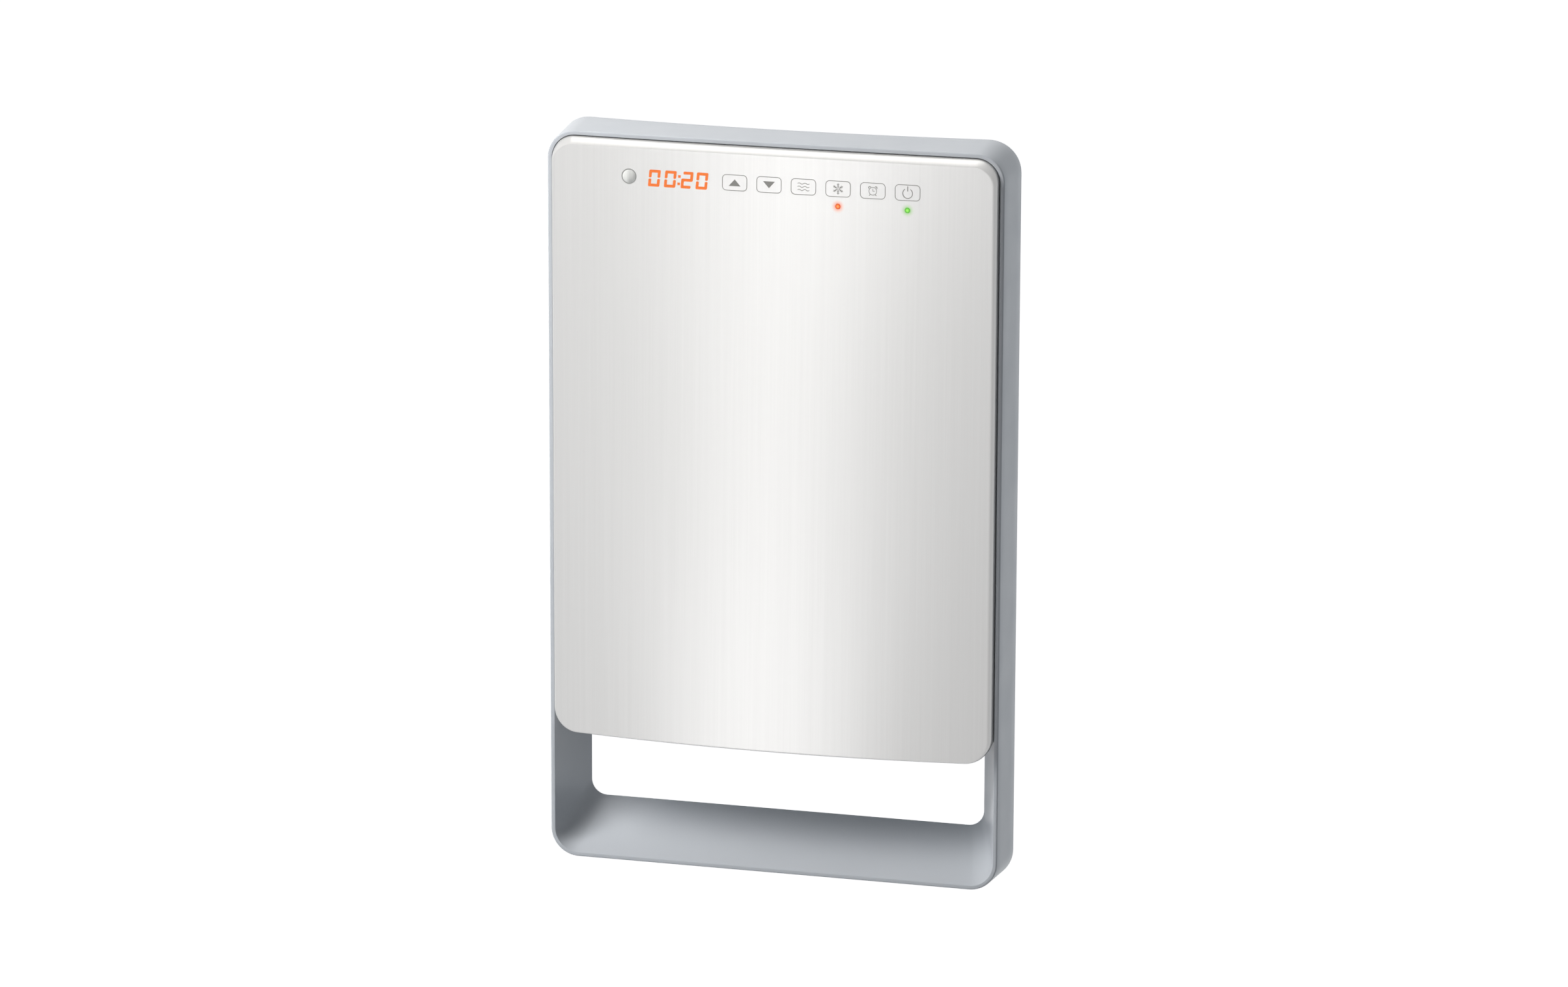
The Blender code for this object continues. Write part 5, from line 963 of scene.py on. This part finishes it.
def surround_hollow():
    """The room inside the hollow back, from which the ribs are left out."""
    past = 1 + OVERRUN / FRAME_DEPTH
    middle = (POCKET_START_SHARE + past) / 2
    pocket = [outer_ring(POCKET_START_SHARE, FRAME_WALL), outer_ring(past, FRAME_WALL)]
    pocket += [throat_ring(share, FRAME_WALL) for share in (past, middle, POCKET_START_SHARE)]
    slabs = bmesh.new()
    half = RIB_THICKNESS / 2
    front = -RIM_DEPTH - TOP_FRONT_BOW
    rear = -RIM_DEPTH + FRAME_DEPTH + OVERRUN * 2
    inside = FRAME_HALF - RIM_LAND - THROAT_NARROWING - OVERRUN
    outside = FRAME_HALF + FRAME_DRAFT + OVERRUN
    low, high = -RIB_OVERRUN, RIM_LAND + RAIL_RISE + OVERRUN
    for x in (FRAME_HALF * share for share in RAIL_RIB_SHARES):
        box(slabs, (x - half, front, low), (x + half, rear, high))
    low, high = FRAME_HEIGHT - TOP_RIB_TALL, FRAME_HEIGHT + RIB_OVERRUN
    for x in (FRAME_HALF * share for share in TOP_RIB_SHARES):
        box(slabs, (x - half, front, low), (x + half, rear, high))
    for z in (FRAME_HEIGHT * share for share in SIDE_RIB_SHARES):
        for side in (-1, 1):
            ends = sorted((side * inside, side * outside))
            box(slabs, (ends[0], front, z - half), (ends[1], rear, z + half))
    hollow = loose("hollow", swept(pocket), frame_moulding)
    combined(hollow, "DIFFERENCE", loose("ribs", slabs, frame_moulding))
    return hollow


def surround():
    """Satin moulding with rounded rims, a scooped throat, a hollow ribbed back and four lugs."""
    shell = loose("towel_surround", surround_shell(), frame_moulding)
    lugs, bores = bmesh.new(), bmesh.new()
    behind = -LUG_FRONT + LUG_THICKNESS
    share = (RIM_DEPTH - LUG_FRONT) / FRAME_DEPTH
    reach = throat_half(share) + FRAME_WALL / 2
    for z in SCREW_HEIGHTS:
        for side in (-1, 1):
            x = side * SCREW_X
            ends = sorted((side * (SCREW_X - LUG_WIDTH / 2), side * reach))
            low = (ends[0], -LUG_FRONT, z - LUG_WIDTH / 2)
            box(lugs, low, (ends[1], behind, z + LUG_WIDTH / 2))
            rod(bores, (x, -LUG_FRONT - OVERRUN, z), (x, behind + OVERRUN, z), SCREW_BORE)
    combined(shell, "DIFFERENCE", surround_hollow())
    combined(shell, "UNION", loose("lugs", lugs, frame_moulding))
    combined(shell, "DIFFERENCE", loose("bores", bores, frame_moulding))
    smoothed(shell)
    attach(shell, "case")
    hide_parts("towel_frame")


# Rear housing and its two pads

def housing_ring(inset, depth):
    radius = HOUSING_CORNER - inset
    size = (HOUSING_HALF - inset, HOUSING_BOTTOM + inset, HOUSING_TOP - inset, radius, radius)
    return size, lambda x, z, out_z: depth


def housing_edge(wall):
    """Rings round the housing's back edge, from its back to its side."""
    radius = HOUSING_ROUND - wall
    rings = []
    for i in range(HOUSING_STEPS + 1):
        turn = math.pi / 2 * (1 - i / HOUSING_STEPS)
        inset = HOUSING_DRAFT + wall + radius * (1 - math.cos(turn))
        rings.append(housing_ring(inset, HOUSING_BACK + wall + radius * (1 - math.sin(turn))))
    return rings


def housing_shell():
    """Drafted tub with rounded back edges, open towards the carrier."""
    bm = bmesh.new()
    layer = bm.verts.layers.int.new("station")
    base = (HOUSING_HALF, HOUSING_BOTTOM, HOUSING_TOP, HOUSING_CORNER)
    rounded_face(bm, *base, HOUSING_CORNER_STEPS)
    verts, edges = bm.verts[:], bm.edges[:]
    spots = stations(layer, verts, *base, HOUSING_CORNER)
    outer, inner = housing_edge(0.0), housing_edge(HOUSING_WALL)[::-1]
    fit(layer, spots, verts, outer[0])
    edge = [housing_ring(0.0, HOUSING_FRONT), housing_ring(HOUSING_WALL, HOUSING_FRONT)]
    for ring in outer[1:] + edge + inner:
        verts, edges = drawn_out(bm, edges)
        fit(layer, spots, verts, ring)
    bmesh.ops.edgeloop_fill(bm, edges=edges)
    bmesh.ops.recalc_face_normals(bm, faces=bm.faces)
    return bm


def housing_openings():
    """Openings for the grilles, the hooks, the pads and the mains lead."""
    bm = bmesh.new()
    near, far = INTAKE_DEPTHS
    low = HOUSING_TOP - HOUSING_WALL - OVERRUN
    box(bm, (-INTAKE_HALF, -far, low), (INTAKE_HALF, -near, HOUSING_TOP + OVERRUN))
    near, far = OUTLET_DEPTHS
    high = HOUSING_BOTTOM + HOUSING_WALL + OVERRUN
    box(bm, (OUTLET_REACH[0], -far, HOUSING_BOTTOM - OVERRUN), (OUTLET_REACH[1], -near, high))
    inside = -HOUSING_BACK - HOUSING_WALL - OVERRUN
    for side in (-1, 1):
        ends = sorted((side * HOOK_X - HOOK_HALF, side * HOOK_X + HOOK_HALF))
        box(bm, (ends[0], inside, HOOK_HEIGHTS[0]), (ends[1], OVERRUN, HOOK_HEIGHTS[1]))
        x, z = side * PAD_PLACE[0], PAD_PLACE[1]
        rod(bm, (x, OVERRUN, z), (x, inside, z), PAD_STEM + GAP)
    start = (INLET_X, -INLET_DEPTH, HOUSING_BOTTOM - OVERRUN)
    rod(bm, start, (INLET_X, -INLET_DEPTH, high), INLET_RADIUS, ROUND_SIDES)
    return bm


def rear_housing():
    """Tub with screw bosses whose wells open at its back, posts and openings."""
    housing = loose("rear_cover", housing_shell(), housing_moulding)
    bosses, wells, shanks, mouths = (bmesh.new() for _ in range(4))
    seat = HOUSING_BACK + HOUSING_WALL / 2
    facing = Matrix.Rotation(math.pi / 2, 4, "X")
    for z in SCREW_HEIGHTS:
        for x in (-SCREW_X, SCREW_X):
            floor, face = (x, -WELL_FLOOR, z), (x, -HOUSING_FRONT, z)
            rod(bosses, (x, -seat, z), face, BOSS_RADIUS, BORE_SIDES)
            rod(wells, (x, OVERRUN, z), floor, WELL_RADIUS, BORE_SIDES)
            past = Vector((0, OVERRUN, 0))
            rod(shanks, Vector(floor) + past, Vector(face) - past, SCREW_BORE)
            mouth = Matrix.Translation((x, -HOUSING_BACK - WELL_CHAMFER / 2, z))
            bmesh.ops.create_cone(
                mouths,
                cap_ends=True,
                segments=BORE_SIDES,
                radius1=WELL_RADIUS + WELL_CHAMFER * 2,
                radius2=WELL_RADIUS - WELL_CHAMFER,
                depth=WELL_CHAMFER * 3,
                matrix=mouth @ facing,
            )
    for x, z in POST_PLACES:
        rod(bosses, (x, -seat, z), (x, -POST_TOP, z), POST_RADIUS)
    combined(housing, "UNION", loose("bosses", bosses, housing_moulding))
    cutters = (("wells", wells), ("mouths", mouths), ("shanks", shanks))
    tools = [loose(name, bm, housing_moulding) for name, bm in cutters]
    combined(housing, "DIFFERENCE", *tools)
    openings = loose("openings", housing_openings(), housing_moulding)
    combined(housing, "DIFFERENCE", openings)
    smoothed(housing)
    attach(housing, "case")
    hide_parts("rear_housing")


def wall_pads():
    """Rubber buttons with rounded, grooved faces, held by a barb in the housing's back."""
    reach = HOUSING_BACK - GAP
    barb = PAD_STEM + GAP * 2
    tip = PAD_TIP + reach * PAD_BARB_SHARE
    first, deep, last = (PAD_RADIUS * share for share in PAD_GROOVE_SHARES)
    profile = [(0.0, 0.0), (first, 0.0), (deep, PAD_GROOVE), (last, 0.0)]
    for sine, back in rounding(PAD_STEPS):
        profile.append((PAD_RADIUS - PAD_ROUND * (1 - sine), PAD_ROUND * back))
    profile += [(PAD_RADIUS, reach), (PAD_STEM, reach), (PAD_STEM, PAD_TIP), (barb, PAD_TIP)]
    profile += [(PAD_STEM * PAD_POINT_SHARE, tip), (0.0, tip)]
    for side, name in ((-1, "left"), (1, "right")):
        place = (side * PAD_PLACE[0], PAD_PLACE[1])
        node = "wall_bumper_" + name
        spun("wall_pad_" + name, profile, place, rubber, node, ROUND_SIDES)


# Front panel

def panel_depth(x, z):
    share = (PANEL_TOP - z) / (PANEL_TOP - PANEL_BOTTOM)
    bulge = PANEL_TOP_BULGE + (PANEL_BOTTOM_BULGE - PANEL_TOP_BULGE) * share
    return RIM_DEPTH + PANEL_PROUD + bulge * (1 - (x / PANEL_HALF) ** 2)


def bend_ring(turn):
    """Panel's edge part of the way round its bend: a quarter turn on the face, 0 on the flange."""
    back = 1 - math.cos(turn)
    half = PANEL_HALF - PANEL_BEND * back
    bottom = PANEL_BOTTOM + PANEL_HEM * back
    top = PANEL_TOP - PANEL_TOP_BEND * (1 - math.cos(turn) ** PANEL_TOP_FORM)
    radii = (PANEL_TOP_CORNER - PANEL_BEND * back, PANEL_BOTTOM_CORNER - PANEL_BEND * back)

    def depth(x, z, out_z):
        deep = PANEL_BEND_DEPTH + (PANEL_HEM - PANEL_BEND_DEPTH) * max(0.0, -out_z)
        form = 1 + (PANEL_TOP_FORM - 1) * max(0.0, out_z)
        return panel_depth(x, z) - deep * (1 - math.sin(turn) ** form)

    return (half, bottom, top, *radii), depth


def flange_ring():
    size, _ = bend_ring(0.0)

    def depth(x, z, out_z):
        plain = frame_depth(x, z, FLANGE_REACH_SHARE)
        hem = panel_depth(x, z) - PANEL_HEM - PANEL_HEM_RETURN
        return plain + (hem - plain) * max(0.0, -out_z)

    return size, depth


def panel_face():
    """Bowed face on an even grid, with its edge left open for the bends."""
    bm = bmesh.new()
    layer = bm.verts.layers.int.new("station")
    (half, bottom, top, *radii), _ = bend_ring(math.pi / 2)
    half, bottom, top = half - PANEL_LEAD, bottom + PANEL_LEAD, top - PANEL_LEAD
    top_radius, low_radius = (radius - PANEL_LEAD for radius in radii)
    inner_ring = (half, bottom, top, top_radius, low_radius)
    rounded_face(bm, half, bottom, top, low_radius)
    verts = bm.verts[:]
    spots = stations(layer, verts, half, bottom, top, low_radius, low_radius)
    fit(layer, spots, verts, (inner_ring, lambda x, z, out_z: 0.0))
    columns = ((1, 0, 0), -half, half, FACE_COLUMNS)
    rows = ((0, 0, 1), bottom, top, FACE_ROWS)
    for normal, low, high, count in (columns, rows):
        for i in range(1, count):
            bmesh.ops.bisect_plane(
                bm,
                geom=bm.verts[:] + bm.edges[:] + bm.faces[:],
                plane_co=Vector(normal) * (low + (high - low) * i / count),
                plane_no=normal,
                dist=CUT_TOLERANCE,
            )
    for vert in bm.verts:
        vert.co.y = -panel_depth(vert.co.x, vert.co.z)
    return bm, layer, inner_ring


def panel_sheet():
    """The face with its bent edges and turned hem."""
    bm, layer, inner_ring = panel_face()
    edges = [edge for edge in bm.edges if edge.is_boundary]
    rim = sorted({vert for edge in edges for vert in edge.verts}, key=lambda vert: vert.index)
    spots = stations(layer, rim, *inner_ring)
    rings = [bend_ring(math.pi / 2 * i / BEND_STEPS) for i in range(BEND_STEPS, -1, -1)]
    for ring in rings + [flange_ring()]:
        verts, edges = drawn_out(bm, edges)
        fit(layer, spots, verts, ring)
    bmesh.ops.recalc_face_normals(bm, faces=bm.faces)
    if sum(face.normal.y * face.calc_area() for face in bm.faces) > 0:
        bmesh.ops.reverse_faces(bm, faces=bm.faces)
    return bm


def front_panel():
    """Bowed sheet with bent edges, a turned hem, and bores for the lens and the lights."""
    panel = loose("brushed_front_panel", panel_sheet(), panel_finish)
    wall = panel.modifiers.new("sheet", "SOLIDIFY")
    wall.thickness = PANEL_SHEET
    wall.offset = -1
    wall.use_even_offset = True
    settle(panel)
    bores = bmesh.new()
    places = [(LENS_X, KEY_ROW, LENS_RADIUS)]
    places += [(x, LIGHT_HEIGHT, LIGHT_RADIUS) for x in LIGHT_X]
    for x, z, radius in places:
        near, far = (-panel_depth(x, z) + past for past in (OVERRUN, -OVERRUN))
        rod(bores, (x, near, z), (x, far, z), radius + GAP / 2, BORE_SIDES)
    combined(panel, "DIFFERENCE", loose("bores", bores, panel_finish))
    smoothed(panel)
    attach(panel, "case")
    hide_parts("front_panel")


# Prints, display, lens and lights on the panel

def dome(radius, rise, front, steps):
    """Profile points of a shallow dome, from its rim to its middle."""
    ball = (radius * radius + rise * rise) / (2 * rise)
    reach = math.asin(radius / ball)
    centre = front + rise - ball
    turns = [reach * (1 - i / steps) for i in range(1, steps + 1)]
    return [(ball * math.sin(turn), centre + ball * math.cos(turn)) for turn in turns]


def sensor_lens():
    """Domed lens with a flange behind the sheet, in a thin raised collar whose darker grey stands
    in for the shade of the gap round the lens.
    """
    place = (LENS_X, KEY_ROW)
    front = panel_depth(*place)
    inner = LENS_RADIUS - COLLAR_WIDTH
    hollow = inner - LENS_WALL
    base = BOARD_FACE + GAP
    seat = panel_depth(LENS_X - LENS_FLANGE_RADIUS, KEY_ROW) - PANEL_SHEET - GAP
    low, high, soft = front - COLLAR_DROP, front + COLLAR_RISE, COLLAR_RISE / 2
    profile = [(hollow, base), (LENS_FLANGE_RADIUS, base), (LENS_FLANGE_RADIUS, seat)]
    profile += [(LENS_RADIUS, seat), (LENS_RADIUS, low), (inner, low), (inner, front)]
    profile += dome(inner, LENS_DOME, front, LENS_STEPS)
    profile += [(0.0, front - LENS_WALL), (hollow, front - LENS_WALL), (hollow, base)]
    spun("sensor_lens_dome", profile, place, lens_smoke, "sensor_lens")
    rim = [(inner, low), (LENS_RADIUS, low), (LENS_RADIUS, high - soft)]
    rim += [(LENS_RADIUS - soft, high), (inner + soft, high), (inner, high - soft), (inner, low)]
    spun("sensor_lens_collar", rim, place, gap_shade_collar)


def indicator_lights():
    """Light guides that end as small domes just proud of the panel."""
    base = BOARD_FACE + GAP
    step = BOARD_FACE + GUIDE_BASE_TALL
    for name, slot, x in zip(("frost", "power"), ("orange_light", "green_light"), LIGHT_X):
        place = (x, LIGHT_HEIGHT)
        front = panel_depth(*place)
        profile = [(0.0, base), (GUIDE_BASE_RADIUS, base), (GUIDE_BASE_RADIUS, step)]
        profile += [(LIGHT_RADIUS, step), (LIGHT_RADIUS, front)]
        profile += dome(LIGHT_RADIUS, GAP, front, LIGHT_STEPS)
        node = "indicator_" + name
        spun("light_dome_" + name, profile, place, COATS[slot], node, BORE_SIDES)


def printed(name, bm, coat=print_grey):
    """Raise faces drawn in the plane of the wall, and lay them on the bowed panel.

    The record has no slot for print.
    """
    bmesh.ops.remove_doubles(bm, verts=bm.verts, dist=SAME_PLACE / 2)
    made = bmesh.ops.extrude_face_region(bm, geom=bm.faces[:])["geom"]
    upper = {part for part in made if isinstance(part, bmesh.types.BMVert)}
    for vert in bm.verts:
        lift = PRINT_THICKNESS if vert in upper else 0.0
        vert.co.y = -panel_depth(vert.co.x, vert.co.z) - lift
    bmesh.ops.recalc_face_normals(bm, faces=bm.faces)
    fitted(loose(name, bm, coat))


def bar(bm, x, z, length, width, angle=0.0, shift=0.0):
    """Flat bar whose middle lies shift along its own direction from (x, z)."""
    turn = Matrix.Rotation(-angle, 4, "Y")
    place = Matrix.Translation((x, 0, z)) @ turn @ Matrix.Translation((shift, 0, 0))
    flat = Matrix.Rotation(math.pi / 2, 4, "X")
    shape = Matrix.Diagonal((length / 2, width / 2, 1.0, 1.0))
    matrix = place @ flat @ shape
    bmesh.ops.create_grid(bm, x_segments=1, y_segments=1, size=1.0, matrix=matrix)


def point_at(x, z, reach, angle):
    """The place at a reach and an angle from (x, z)."""
    return x + reach * math.cos(angle), z + reach * math.sin(angle)


def arc(bm, place, radius, width, start=0.0, angle=math.tau, steps=RING_STEPS):
    """Flat arc of a ring, made by spinning a short edge."""
    x, z = place
    ends = []
    for reach in (radius - width / 2, radius + width / 2):
        end_x, end_z = point_at(x, z, reach, start)
        ends.append(bm.verts.new((end_x, 0, end_z)))
    bmesh.ops.spin(
        bm,
        geom=ends + [bm.edges.new(ends)],
        cent=(x, 0, z),
        axis=(0, -1, 0),
        angle=angle,
        steps=steps,
        use_merge=angle >= math.tau,
    )


def wedge(bm, x, z, width, tall):
    """Filled triangle pointing up, or down for a negative height."""
    spots = ((x - width / 2, z - tall / 2), (x + width / 2, z - tall / 2), (x, z + tall / 2))
    bm.faces.new([bm.verts.new((a, 0, b)) for a, b in spots])


def key_place(i):
    return KEY_START + KEY_PITCH * i


def key_outline(i, name):
    """Thin rounded outline printed round a touch key."""
    bm = bmesh.new()
    half, rise = KEY_LENGTH / 2, KEY_TALL / 2
    rounded_face(bm, half, -rise, rise, KEY_CORNER, KEY_CORNER_STEPS)
    inner = bm.faces[:]
    bmesh.ops.inset_individual(bm, faces=inner, thickness=KEY_LINE, use_even_offset=True)
    bmesh.ops.delete(bm, geom=inner, context="FACES")
    bmesh.ops.translate(bm, verts=bm.verts, vec=(key_place(i), 0, KEY_ROW))
    printed("key_outline_" + name, bm)


def arrow_marks():
    for i, name, way in ((0, "mark_up", 1), (1, "mark_down", -1)):
        bm = bmesh.new()
        wedge(bm, key_place(i), KEY_ROW, ARROW_WIDE, ARROW_TALL * way)
        printed(name, bm)


def heat_mark():
    """Three waves, each of arcs that bow up and down by turns."""
    bm = bmesh.new()
    chord = WAVE_RADIUS * 2 * math.sin(WAVE_BEND / 2)
    sink = WAVE_RADIUS * math.cos(WAVE_BEND / 2)
    for row in (-1, 0, 1):
        for step in range(WAVE_ARCS):
            side = 1 if step % 2 == 0 else -1
            x = key_place(2) + (step - (WAVE_ARCS - 1) / 2) * chord
            z = KEY_ROW + row * WAVE_PITCH - side * sink
            start = side * math.pi / 2 - WAVE_BEND / 2
            arc(bm, (x, z), WAVE_RADIUS, WAVE_LINE, start, WAVE_BEND, WAVE_STEPS)
    printed("mark_heat", bm)


def frost_mark():
    """Snowflake of six twigged arms round a small ring."""
    bm = bmesh.new()
    x = key_place(3)
    up = math.pi / 2
    arc(bm, (x, KEY_ROW), FLAKE_RING, FLAKE_RING_LINE, up, math.tau, FLAKE_ARMS)
    for i in range(FLAKE_ARMS):
        angle = up + math.tau * i / FLAKE_ARMS
        bar(bm, x, KEY_ROW, FLAKE_ARM, FLAKE_ARM_LINE, angle, FLAKE_ARM_MIDDLE)
        for reach, twig in FLAKE_TWIGS:
            root = point_at(x, KEY_ROW, reach, angle)
            for lean in (-FLAKE_TWIG_LEAN, FLAKE_TWIG_LEAN):
                bar(bm, *root, twig, FLAKE_TWIG_LINE, angle + lean, twig / 2)
    printed("mark_frost", bm)


def timer_mark():
    """Alarm clock with its hands, two bells and two feet."""
    bm = bmesh.new()
    x, z = key_place(4), KEY_ROW - CLOCK_DROP
    up = math.pi / 2
    arc(bm, (x, z), CLOCK_RADIUS, CLOCK_LINE)
    for length, angle in CLOCK_HANDS:
        bar(bm, x, z, length, CLOCK_HAND_LINE, angle, length / 2)
    for side in (-1, 1):
        lean = up - side * BELL_LEAN
        bell = point_at(x, z, BELL_REACH, lean)
        arc(bm, bell, BELL_RADIUS, BELL_LINE, lean - up, math.pi, BELL_STEPS)
        bar(bm, x, z, FOOT_LENGTH, FOOT_LINE, -up + side * FOOT_LEAN, FOOT_REACH)
    printed("mark_timer", bm)


def power_mark():
    """Open ring with a bar in its opening."""
    bm = bmesh.new()
    x, z = key_place(5), KEY_ROW - SWITCH_DROP
    up = math.pi / 2
    turn = math.tau - SWITCH_OPENING * 2
    arc(bm, (x, z), SWITCH_RADIUS, SWITCH_LINE, up + SWITCH_OPENING, turn)
    bar(bm, x, z, SWITCH_BAR, SWITCH_BAR_LINE, up, SWITCH_BAR_MIDDLE)
    printed("mark_power", bm)


def stroke(bm, spots):
    """Lit stroke along straight runs, mitred and rounded at its turns, pointed at its ends."""
    half = DIGIT_STROKE / 2
    lean = math.tan(DIGIT_LEAN)
    ways = [(Vector(b) - Vector(a)).normalized() for a, b in zip(spots, spots[1:])]
    shoulders = [Vector(spot) for spot in spots]
    shoulders[0] += ways[0] * (half * POINT_SHARE)
    shoulders[-1] -= ways[-1] * (half * POINT_SHARE)

    def point(flat):
        return bm.verts.new((flat[0] + (flat[1] - KEY_ROW) * lean, 0, flat[1]))

    lefts, rights = [], []
    for spot, before, after in zip(shoulders, ways[:1] + ways, ways + ways[-1:]):
        side = Vector((-before.y - after.y, before.x + after.x)).normalized()
        side *= half / side.dot(Vector((-after.y, after.x)))
        lefts.append(point(spot + side))
        rights.append(point(spot - side))
    tips = [point(spots[0]), point(spots[-1])]
    bm.faces.new([tips[0], *rights, tips[1], *lefts[::-1]])
    outer = []
    for left, right, before, after in zip(lefts[1:], rights[1:], ways, ways[1:]):
        outer.append(right if before.cross(after) > 0 else left)
    bmesh.ops.bevel(
        bm,
        geom=outer,
        offset=DIGIT_STROKE * CORNER_SHARE,
        affect="VERTICES",
        segments=DIGIT_CORNER_STEPS,
        profile=0.5,
        material=-1,
    )


def lit_print(name, bm):
    printed(name, bm, segment_orange)


def display_digits():
    """Lit figures behind the lacquer: 00:20."""
    middle = KEY_ROW - DIGIT_DROP
    reach = (DIGIT_TALL - DIGIT_STROKE) / 2
    low, high = middle - reach, middle + reach
    names = ("hours_tens", "hours_units", "minutes_tens", "minutes_units")
    for name, digit, start in zip(names, "0020", DIGIT_STARTS):
        bm = bmesh.new()
        left = start + DIGIT_STROKE / 2
        right = left + DIGIT_WIDE - DIGIT_STROKE
        if digit == "0":
            for way in (1, -1):
                near, far = middle + way * DIGIT_GAP / 2, middle + way * reach
                stroke(bm, ((left, near), (left, far), (right, far), (right, near)))
        else:
            upper = ((left, high), (right, high), (right, middle))
            lower = ((left, middle), (left, low), (right, low))
            stroke(bm, upper + lower)
        lit_print("digit_" + name, bm)
    bm = bmesh.new()
    for z in COLON_HEIGHTS:
        x = COLON_X + (z - KEY_ROW) * math.tan(DIGIT_LEAN)
        bar(bm, x, z, COLON_SIZE, COLON_SIZE)
    lit_print("digit_colon", bm)


def key_row():
    for i, name in enumerate(("up", "down", "mode", "frost", "timer", "power")):
        key_outline(i, name)
    arrow_marks()
    heat_mark()
    frost_mark()
    timer_mark()
    power_mark()
    display_digits()


surround()
rear_housing()
wall_pads()
front_panel()
sensor_lens()
indicator_lights()
key_row()


# Finishes of the carried pieces

for part in frame["record"]["subparts"]:
    slots = nodes[part["node"]].data.materials
    slots.clear()
    slots.append(COATS[part["material_slot"]])
